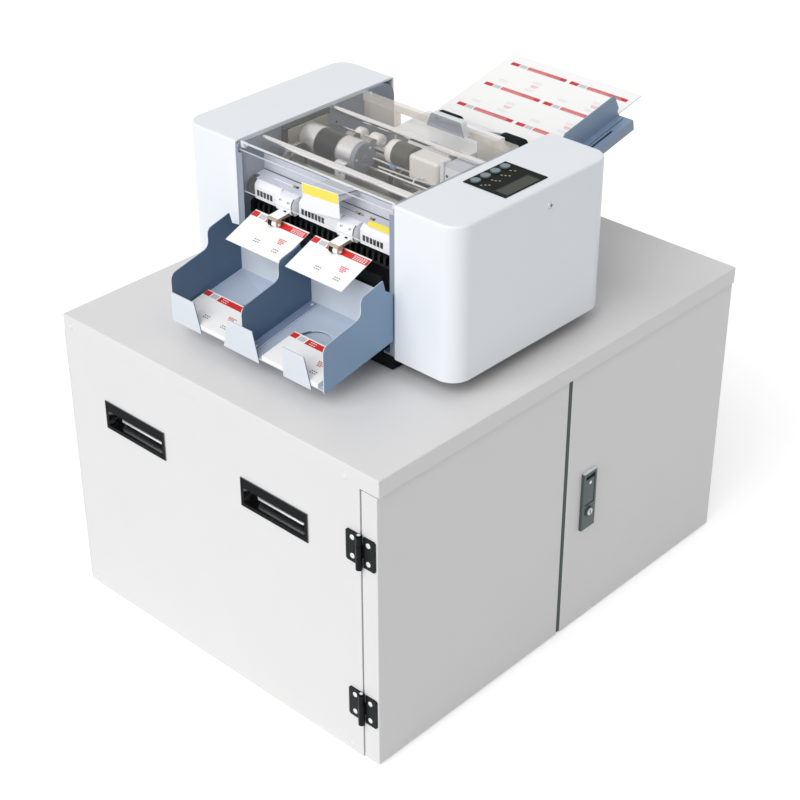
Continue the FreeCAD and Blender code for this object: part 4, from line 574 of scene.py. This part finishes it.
def on_places(tree, given, part):
    """Put a part on every place, its Z along facing and its X along across, as real painted faces."""
    across = step(tree, "GeometryNodeInputNamedAttribute", {"data_type": "FLOAT_VECTOR", "Name": "across"})
    facing = step(tree, "GeometryNodeInputNamedAttribute", {"data_type": "FLOAT_VECTOR", "Name": "facing"})
    first = step(tree, "FunctionNodeAlignRotationToVector", {"axis": "X"},
                 {"Vector": across.outputs["Attribute"]})
    second = step(tree, "FunctionNodeAlignRotationToVector", {"axis": "Z", "pivot_axis": "X"},
                  {"Rotation": first.outputs["Rotation"], "Vector": facing.outputs["Attribute"]})
    spread = step(tree, "GeometryNodeInstanceOnPoints", None,
                  {"Points": given.outputs["Places"], "Instance": part,
                   "Rotation": second.outputs["Rotation"]})
    real = step(tree, "GeometryNodeRealizeInstances", None, {"Geometry": spread.outputs["Instances"]})
    painted = step(tree, "GeometryNodeSetMaterial", None,
                   {"Geometry": real.outputs["Geometry"], "Material": given.outputs["Finish"]})
    step(tree, "NodeGroupOutput", None, {"Parts": painted.outputs["Geometry"]})
    return tree


def domed_heads():
    """Rivet or screw head: a flattened ball, half sunk in the sheet."""
    tree, given = repeat_tree("domed_heads", ("Head radius", "Head height"))
    radius, height = given.outputs["Head radius"], given.outputs["Head height"]
    ball = step(tree, "GeometryNodeMeshUVSphere", {"Segments": 20, "Rings": 10})
    size = step(tree, "ShaderNodeCombineXYZ", None, {"X": radius, "Y": radius, "Z": height})
    flat = step(tree, "GeometryNodeTransform", None,
                {"Geometry": ball.outputs["Mesh"], "Scale": size.outputs["Vector"]})
    return on_places(tree, given, flat.outputs["Geometry"])


def flat_tiles():
    """Small block centred on its place: length across, width, and height along facing."""
    tree, given = repeat_tree("flat_tiles", ("Length", "Width", "Height"))
    size = step(tree, "ShaderNodeCombineXYZ", None,
                {"X": given.outputs["Length"], "Y": given.outputs["Width"], "Z": given.outputs["Height"]})
    tile = step(tree, "GeometryNodeMeshCube", None, {"Size": size.outputs["Vector"]})
    return on_places(tree, given, tile.outputs["Mesh"])


def cross_recesses():
    """Cross recess of a screw head, as two crossing bars."""
    tree, given = repeat_tree("cross_recesses", ("Length", "Width", "Height"))
    both = step(tree, "GeometryNodeJoinGeometry")
    for first, second in (("Length", "Width"), ("Width", "Length")):
        size = step(tree, "ShaderNodeCombineXYZ", None,
                    {"X": given.outputs[first], "Y": given.outputs[second], "Z": given.outputs["Height"]})
        bar = step(tree, "GeometryNodeMeshCube", None, {"Size": size.outputs["Vector"]})
        tree.links.new(bar.outputs["Mesh"], both.inputs["Geometry"])
    return on_places(tree, given, both.outputs["Geometry"])


def roller_ribs():
    """Ribs along a rubber roller: narrow bars in a ring about the place's facing axis."""
    tree, given = repeat_tree("roller_ribs", ("Roller radius", "Roller width", "Rib width", "Rib count"))
    ring = step(tree, "GeometryNodeMeshCircle", None,
                {"Vertices": given.outputs["Rib count"], "Radius": given.outputs["Roller radius"]})
    width, along = given.outputs["Rib width"], given.outputs["Roller width"]
    size = step(tree, "ShaderNodeCombineXYZ", None, {"X": width, "Y": width, "Z": along})
    rib = step(tree, "GeometryNodeMeshCube", None, {"Size": size.outputs["Vector"]})
    outward = step(tree, "GeometryNodeInputPosition")
    turn = step(tree, "FunctionNodeAlignRotationToVector", {"axis": "X", "pivot_axis": "Z"},
                {"Vector": outward.outputs["Position"]})
    ribs = step(tree, "GeometryNodeInstanceOnPoints", None,
                {"Points": ring.outputs["Mesh"], "Instance": rib.outputs["Mesh"],
                 "Rotation": turn.outputs["Rotation"]})
    return on_places(tree, given, ribs.outputs["Instances"])


def repeated(name, host, material, tree, sizes, spots):
    """Run a tree on places, (point mm, facing, across), and keep the result as one plain mesh."""
    mesh = bpy.data.meshes.new(f"{name}_places")
    mesh.from_pydata([tuple(c * MM for c in spot[0]) for spot in spots], [], [])
    for label, k in (("facing", 1), ("across", 2)):
        layer = mesh.attributes.new(label, "FLOAT_VECTOR", "POINT")
        layer.data.foreach_set("vector", [value for spot in spots for value in spot[k]])
    thing = listed(name, mesh)
    modifier = thing.modifiers.new("repeat", "NODES")
    modifier.node_group = tree
    for socket in tree.interface.items_tree:
        if socket.name == "Finish":
            modifier[socket.identifier] = material
        elif socket.name in sizes:
            scale = 1 if socket.name.endswith("count") else MM
            modifier[socket.identifier] = float(sizes[socket.name] * scale)
    view = bpy.context.evaluated_depsgraph_get()
    plain = bpy.data.meshes.new_from_object(thing.evaluated_get(view), depsgraph=view)
    plain.name = name
    thing.modifiers.clear()
    thing.data = plain
    smooth(plain)
    attach(thing, HOME[host])


HEADS, TILES, RECESSES, RIBS = domed_heads(), flat_tiles(), cross_recesses(), roller_ribs()


def round_heads(name, host, material, radius, height, spots):
    """Rivets, caps or holes: domed heads of one size."""
    repeated(name, host, material, HEADS, {"Head radius": radius, "Head height": height}, spots)


def tiles(name, host, material, length, width, height, spots):
    """Small flat blocks of one size."""
    repeated(name, host, material, TILES, {"Length": length, "Width": width, "Height": height}, spots)


def cross_screws(names, host, radius, height, bars, spots, inside=recess_black):
    """Zinc-plated screws and their cross recesses; bars are length, width and height."""
    round_heads(names[0], host, zinc_screw, radius, height, spots)
    repeated(names[1], host, inside, RECESSES, dict(zip(("Length", "Width", "Height"), bars)), spots)


FRONT, REAR, OUT, TOP = (0, -1, 0), (0, 1, 0), (1, 0, 0), (0, 0, 1)


# ---------------- motors
MOTOR = (-124.5, -48, 588)
made("motor_cans", "main_motor", spun_aluminium,
     [turned(MOTOR, OUT, [(7, 6), (7.4, 16), (8.6, 18), (10.4, 19), (32.8, 19), (33.4, 18.4)], 64),
      turned(MOTOR, OUT, [(71.4, 18.4), (71.9, 19), (95, 19)], 64), turned(MOTOR, OUT, [(0, 9), (8, 9)], 40)],
     angle=40, stands_for=("main_motor",))
made("motor_band", "main_motor", motor_band, [turned(MOTOR, OUT, [(33, 18.6), (72, 18.6)], 64)])
made("motor_rings", "main_motor", zinc_screw,
     [turned(MOTOR, OUT, [(at, 18.7), (at + 0.3, 18.95), (at + 0.8, 18.95), (at + 1.1, 18.7)], 64)
      for at in (33.4, 70)])
made("motor_face", "main_motor", plate_lacquer,
     [turned(MOTOR, OUT, [(94.6, 18.7), (101.4, 18.7), (102, 18.1)], 64),
      turned(MOTOR, OUT, [(101, 5), (103, 5), (103.3, 4.4)])])
made("motor_mounting_plate", "main_motor", phenolic, [block((-119.4, -80, 560), (-117.6, -14, 606))],
     edge=0.5)
made("motor_strap", "main_motor", guard_paint,
     [block((-51.5, -70, 556), (-35, -68.4, 583)), block((-51.5, -69, 581.4), (-35, -64.6, 583))], edge=0.5)
round_heads("motor_screws", "main_motor", zinc_screw, 2.0, 1.3,
            [((-22.5, -38.5, 598), OUT, REAR), ((-22.5, -62, 589.5), OUT, REAR),
             ((-43, -70, 571), FRONT, OUT)])

FEED = (-20, -14, 590.4)
made("feed_gearbox", "feed_motor", white_nylon, [block((26, -26.4, 569.5), (73.4, 1.6, 601.6))], edge=4.5)
made("feed_motor_cap", "feed_motor", white_nylon,
     [turned(FEED, OUT, [(7, 8), (8, 12), (10, 14.2), (13, 15), (21, 15)], 56)], angle=50)
made("feed_motor_can", "feed_motor", feed_can_paint, [turned(FEED, OUT, [(20.3, 15.15), (47, 15.15)], 56)],
     stands_for=("feed_motor",))
made("feed_bracket", "feed_motor", guard_paint,
     [block((74.2, -23.3, 578), (79.4, -19.8, 606.6)), block((79.2, -20.6, 580), (124.4, -19, 599.8))],
     edge=0.5)
made("feed_bracket_plate", "feed_motor", sheet_lacquer, [block((76, -20.6, 599.6), (106, 13, 601.2))],
     edge=0.6)
made("feed_bracket_hole", "feed_motor", recess_black,
     [turned((82.5, -20.7, 588.6), FRONT, [(0, 1.7), (0.15, 1.7)], 28)])
made("stay_rollers", "cross_rods", white_nylon,
     [turned((start, 0.5, 587.5), OUT, [(0, 4), (0.7, 7), (2.6, 8.6), (5, 9), (length - 3.4, 9),
                                        (length - 1.4, 8.2), (length, 5.4)], 40)
      for start, length in ((-82, 13), (-58, 18.5))], angle=50)
made("roller_stay", "cross_rods", chrome, [wire([(-124.4, 0.5, 587.5), (-38, 0.5, 587.5)], 2.0, 20)])

# ---------------- wiring and board
made("wire_connector", "feed_motor", connector_nylon, [block((-2, -28, 575), (7, -22.6, 579.6))], edge=0.6)
made("motor_wires", "feed_motor", wire_sleeve,
     [wire([(-30, -36, 584), (-20, -33, 583), (-10, -29, 580.5), (-1.6, -26.4, 578.4)], 1.2),
      wire([(6.5, -24.6, 577.8), (18, -23, 577.6), (35, -22, 576), (52, -20.6, 574.8), (67, -18, 574)], 1.2),
      wire([(-8, -40, 579), (6, -38, 578.2), (40, -33, 576), (60, -29, 575.4), (74, -26, 575)], 1.1)])
made("red_wire", "feed_motor", red_sleeve,
     [wire([(5, -28.4, 576.4), (9, -30, 574.6), (15, -29, 573.4)], 0.9)])
made("cross_stay", "cross_rods", chrome, [wire([(-30, -46, 578), (124.4, -46, 578)], 1.6, 20)])
made("wire_hook", "cross_rods", guard_paint,
     [wire([(52, -46, 578), (50.4, -42, 580.4), (49.4, -36, 580.8), (49.6, -32, 580.4), (51, -30.2, 580),
            (54.6, -30, 579.6)], 1.0)])
made("circuit_board", "housing_left", board_mask, [block((-124.3, -85, 604.5), (-121, -7, 611))], edge=0.2)
made("board_parts", "housing_left", recess_black, [block((-124.2, -86, 588), (-119, -75.5, 607))], edge=0.4)
made("board_sockets", "housing_left", board_mask,
     [block((-121.2, -50, 604.9), (-119.6, -41, 609)), block((-121.2, -33, 605.4), (-119.8, -25, 609.4))],
     edge=0.3)
made("sheet_stay", "side_frame_left", guard_paint, [block((-124.4, 66.4, 574), (-122.4, 69, 608.5))],
     edge=0.5)
made("lid_rear_wall", "clear_cover", reflection_veiled_acrylic,
     [block((-122.6, 55.2, 574), (-62.4, 56.6, 602.1)), block((62.4, 55.2, 580), (122.6, 56.6, 602.1))])

# ---------------- card exit
SLOT_PITCH = 5.5
slots = [((start + 6.3 + SLOT_PITCH * k, -140.05, 547.2), FRONT, OUT)
         for start, count in ((-116, 5), (-41, 7), (58, 6)) for k in range(count)]
tiles("guard_slots", "upper_guards", recess_black, 3.9, 7.2, 0.5, slots)
for centre, side in ((-57.5, "left"), (42.5, "right")):
    made(f"bracket_seam_{side}", "exit_clips", recess_black,
         [wire([(centre + 12.9, -145.6, 540.5), (centre + 12.9, -148.7, 546), (centre + 12.9, -148.9, 553),
                (centre + 12.9, -147, 558), (centre + 12.9, -143.5, 561)], 0.55)])
    made(f"bracket_recess_{side}", "exit_clips", recess_black,
         [prism([(centre - 2.5, -149.05, 540.4), (centre + 2, -149.05, 540.8), (centre + 4.6, -149.05, 545.6),
                 (centre + 0.6, -149.05, 545)], (0, 0.6, 0))])
    heads = [((centre + dx, -148.6, z), (0, -0.94, 0.34), OUT) for dx, z in ((-6, 556.8), (7.4, 556.6))]
    cross_screws((f"bracket_screws_{side}", f"bracket_screw_recesses_{side}"), "exit_clips", 1.5, 0.7,
                 (1.8, 0.5, 1.6), heads)
    roller = f"exit_roller_{side}"
    roll = (centre, -164.6, 534.3)
    made(f"roller_tyre_{side}", roller, rubber,
         [turned(roll, OUT, [(-6.6, 4.2), (-6.2, 4.7), (-0.6, 4.7), (-0.2, 4.2)], 40)])
    made(f"roller_disc_{side}", roller, white_nylon,
         [turned(roll, OUT, [(-0.2, 4.4), (1.2, 4.4), (1.6, 3.9)], 40)])
    made(f"roller_hub_{side}", roller, bronze, [turned(roll, OUT, [(1.2, 2.7), (7, 2.7), (7.4, 2.2)], 32)])

LABEL_X, LABEL_Z, LEAN = 6, 577, math.radians(4)


def label_face(spots, y):
    """Corners of the slightly crooked label, in the plane of constant y."""
    return [(LABEL_X + dx * math.cos(LEAN) - dz * math.sin(LEAN), y,
             LABEL_Z + dx * math.sin(LEAN) + dz * math.cos(LEAN)) for dx, dz in spots]


made("label_plate", "upper_guards", white_vinyl,
     [prism(label_face([(-29.5, -18), (29.5, -14), (29.5, 16.5), (-29.5, 16.5)], -150), (0, 0.8, 0))],
     edge=0.15)
made("label_band", "upper_guards", yellow_vinyl,
     [prism(label_face([(-28.6, 3.6), (28.7, 3.6), (28.7, 15.6), (-28.6, 15.6)], -150.12), (0, 0.3, 0))])
made("label_arm", "upper_guards", sheet_lacquer,
     [prism([(35, -149.2, 593.6), (35, -149.2, 586), (35, -114.4, 584), (35, -114.4, 590)], (-1.4, 0, 0)),
      prism([(35, -149.2, 593.6), (35, -114.4, 590), (-8, -114.4, 590), (-8, -149.2, 593.6)], (0, 0, -1.2))],
     edge=0.3)
made("label_arm_hole", "upper_guards", recess_black,
     [prism([(24, -121, 590.75), (31, -121, 590.75), (31, -117, 590.35), (20, -117, 590.35)], (0, 0, 0.1))])
made("small_label", "upper_guards", yellow_vinyl,
     [prism([(66, -137.6, 563.2), (107, -137.6, 563.2), (107, -137.2, 571.4), (71.5, -137.2, 570.6)],
            (0, 0.4, 0))])
made("guard_hem", "knife_cover", guard_paint, [block((-97, -125.4, 564), (-66, -124, 565.2))], edge=0.3)
made("guard_gap", "knife_cover", recess_black,
     [block((-124, -116.2, 565.9), (124, -115.3, 566.6)), block((-66, -124.9, 564.2), (-56, -124.3, 564.8)),
      block((13, -124.9, 564.2), (50, -124.3, 564.9))])
made("guard_pins", "knife_cover", brass,
     [turned((x, -125, 564), TOP, [(0, 1.5), (2.6, 1.5), (3, 1.1)], 20) for x in (-63, 38.5, 46.5, 61)])
made("guard_nuts", "knife_cover", recess_black,
     [turned((x, -124.6, 564), TOP, [(0, 1.9), (1.8, 1.9)], 6) for x in (-58.5, 43, 65)])
made("end_wheel", "lower_guide", black_acetal,
     [turned((-124.3, -132, 551), OUT, [(0, 12.6), (0.5, 13.4), (6.5, 13.4), (7, 12.6)])], angle=40)
made("end_knob", "lower_guide", white_nylon,
     [turned((-120.5, -139.2, 548.4), FRONT, [(-4, 3.2), (0.6, 3.2), (1.6, 2.4), (1.9, 1)], 28)], angle=50)

# ---------------- prints on the paper
INK = 0.07  # mm: ink and its lift off the paper are drawn thick enough to show


def on_paper(origin, along):
    """A sheet's corner, the direction along it, and the direction off its upper face."""
    run = Vector(along).normalized()
    lift = Vector(OUT).cross(run)
    if lift.z < 0:
        lift.negate()
    return Vector(origin), run, lift


def printed(name, material, paper, marks):
    """Flat printed areas (x low, x high, distance low, distance high) on a paper face."""
    origin, run, lift = on_paper(*paper)
    shapes = []
    for left, right, near, far in marks:
        corners = [origin + Vector((x, 0, 0)) + run * distance + lift * 0.02
                   for x, distance in ((left, near), (right, near), (right, far), (left, far))]
        shapes.append(prism(corners, lift * INK))
    made(name, "cut_cards", material, shapes)


def specks(name, material, paper, tracks, length, width, pitch):
    """Rows of small printed dashes: (x low, x high, distance) for each row."""
    origin, run, lift = on_paper(*paper)
    spots = []
    for left, right, distance in tracks:
        for k in range(int((right - left) / pitch)):
            place = origin + Vector((left + (k + 0.5) * pitch, 0, 0)) + run * distance + lift * 0.08
            spots.append((tuple(place), tuple(lift), OUT))
    tiles(name, "cut_cards", material, length, width, INK, spots)


# Where each paper face starts, and the way it runs.
EXIT_CARDS = ((0, -154, 534.1), (0, -49.89, -20.66))
BIN_CARDS = ((0, -215.74, 443.0), (0, -53.06, -10.03))
SHEET = ((0, 113.93, 546.84), (0, 208.35, 44.24))

# One card's print, measured from its left and rear edges: red square, grey patch and red bar.
for place, paper, lefts in (("exit", EXIT_CARDS, (-99.5, 0.5)), ("bin", BIN_CARDS, (-122, 26))):
    printed(f"{place}_card_red", red_ink, paper,
            [area for left in lefts
             for area in ((left + 0.3, left + 10.5, 1.5, 9.5), (left + 25, left + 89.7, 2, 10.5))])
    printed(f"{place}_card_grey", grey_ink, paper, [(left + 12.5, left + 23, 2.5, 9.5) for left in lefts])
    specks(f"{place}_card_specks", white_vinyl, paper,
           [(left + 30, left + 42, d) for left in lefts for d in (4.6, 7.8)]
           + [(left + 66, left + 88, d) for left in lefts for d in (4.2, 6.4, 8.6)], 2.3, 1.1, 3.5)
    specks(f"{place}_card_lines", dark_ink, paper,
           [(left + 66, left + 78, d) for left in lefts for d in (40, 43.2)]
           + [(left + 33, left + 44, d) for left in lefts for d in (37, 40.2)], 2.2, 1.2, 3.4)
    specks(f"{place}_card_emblem", red_ink, paper,
           [(left + 62 + k, left + 77 - k, 24 + 2.2 * k) for left in lefts for k in range(4)], 2.6, 1.3, 3.3)

# Six cards on the sheet, two to a row, each with a bar of red square, grey patch, halftone and red.
ROWS, LEFTS, BAR_HALF, SHEET_EDGE = (193, 138.5, 84), (-92.5, 5.5), 3.2, 99
every_card = [(row, left) for row in ROWS for left in LEFTS]
upper_cards = [(row, left) for row in ROWS[:2] for left in LEFTS]


def sheet_bars(low, high):
    """Places of one field of the bars, which end at the sheet's edge."""
    return [(left + low, min(left + high, SHEET_EDGE), row - BAR_HALF, row + BAR_HALF)
            for row, left in every_card]


printed("sheet_red", sheet_ink, SHEET, sheet_bars(0.5, 14) + sheet_bars(60, 92))
printed("sheet_halftone", halftone_ink, SHEET, sheet_bars(28.5, 60))
printed("sheet_grey", grey_ink, SHEET, sheet_bars(15.5, 26.5))
specks("sheet_specks", white_vinyl, SHEET,
       [(left + 30, left + 84, row + d) for row, left in every_card for d in (-1.6, 0.6)], 1.4, 0.8, 3.1)
specks("sheet_lines", grey_ink, SHEET,
       [(left + 56, left + 72, row - d) for row, left in upper_cards for d in (22, 25, 40, 43)]
       + [(left + 12, left + 26, row - d) for row, left in upper_cards for d in (38, 41)], 1.8, 0.9, 2.8)
specks("sheet_emblems", pink_ink, SHEET,
       [(left + 58 + k, left + 72 - k, row - 30 - 2 * k) for row, left in upper_cards for k in range(3)],
       2.0, 1.2, 2.6)

# ---------------- key panel
for number, y in enumerate((-50.5, -33.5, -16.5, 0.5), 1):
    made(f"key_face_{number}", f"push_button_{number}", key_face,
         [turned((151.3, y, 616.5), TOP, [(0, 5.3), (0.22, 5.1)], 40)])
ticks = ((163.6, -55.2), (166.8, -51.6), (170.2, -48.8), (163.8, -36.6), (168, -35.4), (171.6, -32.8),
         (163.2, -19.6), (167.2, -17.6), (171, -15), (162.9, -3.6), (167, -0.8))
tiles("key_legends", "control_panel", legend_ink, 2.6, 1.5, 0.12,
      [((x, y, 615.22), TOP, (0.82, 0.57, 0)) for x, y in ticks])
made("display_frame", "control_panel", display_rim,
     [block((183.4, -55.8, 615.05), (202.6, -55, 615.25)), block((183.4, 1, 615.05), (202.6, 1.8, 615.25)),
      block((183.4, -55.8, 615.05), (184.1, 1.8, 615.25)),
      block((201.9, -55.8, 615.05), (202.6, 1.8, 615.25))])

# ---------------- tray, table and pick-up rollers
TRAY_FALL, TRAY_BACK_Y, TRAY_BACK_Z = math.tan(math.radians(10.7)), -157.5, 449
TABLE_RISE, TABLE_EDGE_Y, TABLE_EDGE_Z = math.tan(math.radians(12)), 114, 544.5


def tray_floor(y):
    """Height of the tray's sloping floor."""
    return TRAY_BACK_Z - (TRAY_BACK_Y - y) * TRAY_FALL


# A plate in the floor's painted lit tone under the bins' thumb holes stands in for the lit cabinet top that
# shows through them.
made("tray_hole_backing_painted_light", "tray_pan", floor_painted_light,
     [prism([(-118, y, tray_floor(y) - drop) for y, drop in ((-163, 4), (-263, 4), (-263, 5), (-163, 5))],
            (236, 0, 0))])
# A painted highlight: a thin rod in the palest painted lit tone along the fold of the divider's flange.
made("divider_fold_highlight", "tray_divider", front_back_painted_light,
     [wire([(8.4, y, tray_floor(y) + 1.0) for y in (-162, -265)], 0.5)])
round_heads("divider_rivets", "tray_divider", rivet_aluminium, 2.2, 0.7,
            [((2.4, y, tray_floor(y) + 1.35), (0, -TRAY_FALL, 1), OUT) for y in (-165, -256)])
# Painted shade: a near-black plate under the slot in the feed table, where the slot would show the floor.
made("table_slot_painted_shade", "feed_table", recess_black,
     [prism([(114.5, y, TABLE_EDGE_Z + (y - TABLE_EDGE_Y) * TABLE_RISE - drop)
             for y, drop in ((172, 1.35), (254, 1.35), (254, 2.4), (172, 2.4))], (10.5, 0, 0))])
repeated("pickup_roller_ribs", "pickup_rollers", rubber, RIBS,
         {"Roller radius": 13.9, "Roller width": 28.6, "Rib width": 1.0, "Rib count": 44},
         [((x, 133, 565.95), OUT, REAR) for x in (-52, 52)])

# ---------------- hinges and fasteners
HINGE_HEIGHTS, RIVET_OFFSET = (77, 300), 12.4
for side, label in ((-1, "front"), (1, "rear")):
    for leaf, host, x in (("cabinet", "hinge_leaves_fixed", 226), ("door", f"door_{label}_hinges", 250)):
        round_heads(f"{leaf}_hinge_rivets_{label}", host, rivet_aluminium, 3.4, 0.8,
                    [((x, side * 330, height + dz), (0, side, 0), OUT)
                     for height in HINGE_HEIGHTS for dz in (-RIVET_OFFSET, RIVET_OFFSET)])
    made(f"hinge_pin_ends_{label}", "hinge_leaves_fixed", rivet_aluminium,
         [turned((238, side * 332, height + 22.2), TOP, [(0, 2.2), (0.4, 2.2), (0.7, 1.6)], 28)
          for height in HINGE_HEIGHTS])
skirt = [((x, side * 328, z), (0, side, 0), OUT) for side in (-1, 1)
         for x, z in ((-251, 388), (215, 385.5), (219, 9), (-251, 9))]
round_heads("cabinet_screws", "cabinet_top", cream_cap, 3.2, 1.2, skirt)
back = [((-265, y, z), (-1, 0, 0), REAR) for y in (-310, -105, 105, 310) for z in (14, 366)]
cross_screws(("back_screws", "back_screw_recesses"), "cabinet_back", 3.4, 1.4, (3.4, 0.8, 2.95), back)
upright = [((side * 218.5, 0, 589.6), (side, 0, 0), REAR) for side in (-1, 1)]
cross_screws(("housing_top_screws", "housing_top_recesses"), "housing_left", 4.6, 1.6, (4.6, 1.1, 3.3),
             upright, satin_nickel)
casing = [((side * x, 113, z), REAR, OUT)
          for side in (-1, 1) for x, z in ((140, 430), (140, 600), (190, 600))]
cross_screws(("housing_screws", "housing_screw_recesses"), "housing_left", 2.9, 1.1, (2.9, 0.7, 2.35), casing)
holes = [((-124.5, y, z), OUT, REAR) for y, z in ((7.2, 586.7), (30, 560), (-100, 560))]
round_heads("side_plate_holes", "side_frame_left", recess_black, 2.0, 0.15, holes)

# ---------------- door gap shade, lock and grip highlights
# A matt grey strip fills the gap between the doors as painted shade; it sits in the fold of the rear door.
made("door_gap_shade_strip", "door_rear", door_gap_shade,
     [prism([(257.6, -1.4, 4), (260.0, -1.4, 4), (260.9, -0.4, 4), (261.3, 1.0, 4), (261.5, 3.4, 4),
             (257.6, 3.4, 4)], (0, 0, 373.5))])
made("lock_pull_pivot", "lock_pull", rivet_aluminium,
     [turned((266.2, 44, 215), OUT, [(0, 2.4), (0.5, 2.4), (0.8, 1.8)], 24)])
# Painted highlight: the lock plate's top bevel is drawn in pale aluminium as a bright line.
made("lock_bevel_highlight", "lock_plate", rivet_aluminium,
     [prism([(262.3, 31.6, 230.6), (262.3, 56.4, 230.6), (266.2, 56.4, 230.2), (266.2, 31.6, 230.2)],
            (0, 0, 1.0))])
made("lock_key_face", "lock_cylinder", zinc_screw,
     [turned((268.4, 44, 172), OUT, [(0, 4.8), (0.35, 4.5)], 40)])
made("lock_key_slot", "lock_cylinder", recess_black, [block((268.6, 43.4, 169), (268.9, 44.6, 175))])
# Painted highlight: a pale aluminium wire along the curved back of each handle's cup draws the bright streak
# there.
for side, label in ((-1, "front"), (1, "rear")):
    made(f"grip_highlight_wires_{label}", "carry_handles_front", rivet_aluminium,
         [wire([(grip - 43, side * 306.5, 281), (grip - 40, side * 315, 280.4), (grip - 36, side * 318, 280),
                (grip + 36, side * 318, 280), (grip + 40, side * 315, 280.4), (grip + 43, side * 306.5, 281)],
               1.7, 12) for grip in (-141, 101)])

# ---------------- camera
AZIMUTH, ELEVATION, ROLL = math.radians(43.1387), math.radians(31.9097), math.radians(-0.1228)
EYE = (1.34710, -1.45012, 1.47324)
SENSOR_MM, FRAME_PIXELS, FOCAL_PIXELS = 36, 800, 1812.14
behind = Vector((math.sin(AZIMUTH) * math.cos(ELEVATION), -math.cos(AZIMUTH) * math.cos(ELEVATION),
                 math.sin(ELEVATION)))
right = Vector(TOP).cross(behind).normalized()
up = behind.cross(right)
turn = Matrix((right, up, behind)).transposed().to_4x4() @ Matrix.Rotation(ROLL, 4, "Z")
lens = bpy.data.cameras.new("camera")
lens.sensor_width = SENSOR_MM
lens.lens = SENSOR_MM * FOCAL_PIXELS / FRAME_PIXELS
lens.clip_start = 0.05
lens.clip_end = 50
camera = listed("camera", lens)
camera.matrix_world = Matrix.Translation(EYE) @ turn
bpy.context.scene.camera = camera

# ---------------- floor, backdrop and light
FLOOR_HALF, FLOOR_DROP = 12, 0.0005
FLOOR_LIFT, SKY_LEVEL, SUN_LEVEL, SUN_WIDTH = 0.46, 0.53, 2.1, math.radians(60)
SUN_FROM = (0.0, -0.78, 0.625)
bpy.context.scene.view_settings.view_transform = "Standard"


def seen_rays(tree):
    """1 for what is seen straight on, in a reflection or through a clear sheet, 0 for light itself."""
    rays = step(tree, "ShaderNodeLightPath")
    plain = step(tree, "ShaderNodeMath", {"operation": "MAXIMUM"},
                 {0: rays.outputs["Is Camera Ray"], 1: rays.outputs["Is Glossy Ray"]})
    whole = step(tree, "ShaderNodeMath", {"operation": "MAXIMUM"},
                 {0: plain.outputs[0], 1: rays.outputs["Is Transmission Ray"]})
    return whole.outputs[0]


floor_mesh = bpy.data.meshes.new("floor")
floor_mesh.from_pydata([(x * FLOOR_HALF, y * FLOOR_HALF, 0) for x, y in ((-1, -1), (1, -1), (1, 1), (-1, 1))],
                       [], [(0, 1, 2, 3)])
floor = listed("floor", floor_mesh)
floor.location.z = -FLOOR_DROP

# Matt pale floor; seen straight on or in a reflection it is lifted to white, and shadows stay.
floor_matt = surface("pale_studio_floor", "#DEDEDE", 0.9)
tree = floor_matt.node_tree
lift = step(tree, "ShaderNodeMath", {"operation": "MULTIPLY", 1: FLOOR_LIFT}, {0: seen_rays(tree)})
sockets(floor_matt)["Emission Color"].default_value = (1, 1, 1, 1)
tree.links.new(lift.outputs[0], sockets(floor_matt)["Emission Strength"])
floor_mesh.materials.append(floor_matt)

# White world: seen at full strength, and lighting the machine softly from all sides.
world = bpy.data.worlds.new("studio")
world.use_nodes = True
bpy.context.scene.world = world
tree = world.node_tree
tree.nodes.clear()
level = step(tree, "ShaderNodeMapRange", {"To Min": SKY_LEVEL}, {"Value": seen_rays(tree)})
sky = step(tree, "ShaderNodeBackground", {"Color": (1, 1, 1, 1)}, {"Strength": level.outputs[0]})
step(tree, "ShaderNodeOutputWorld", None, {"Surface": sky.outputs[0]})

key = bpy.data.lights.new("soft_key", "SUN")
key.energy = SUN_LEVEL
key.angle = SUN_WIDTH
key_light = listed("soft_key", key)
key_light.rotation_euler = Vector(SUN_FROM).to_track_quat("Z", "Y").to_euler()
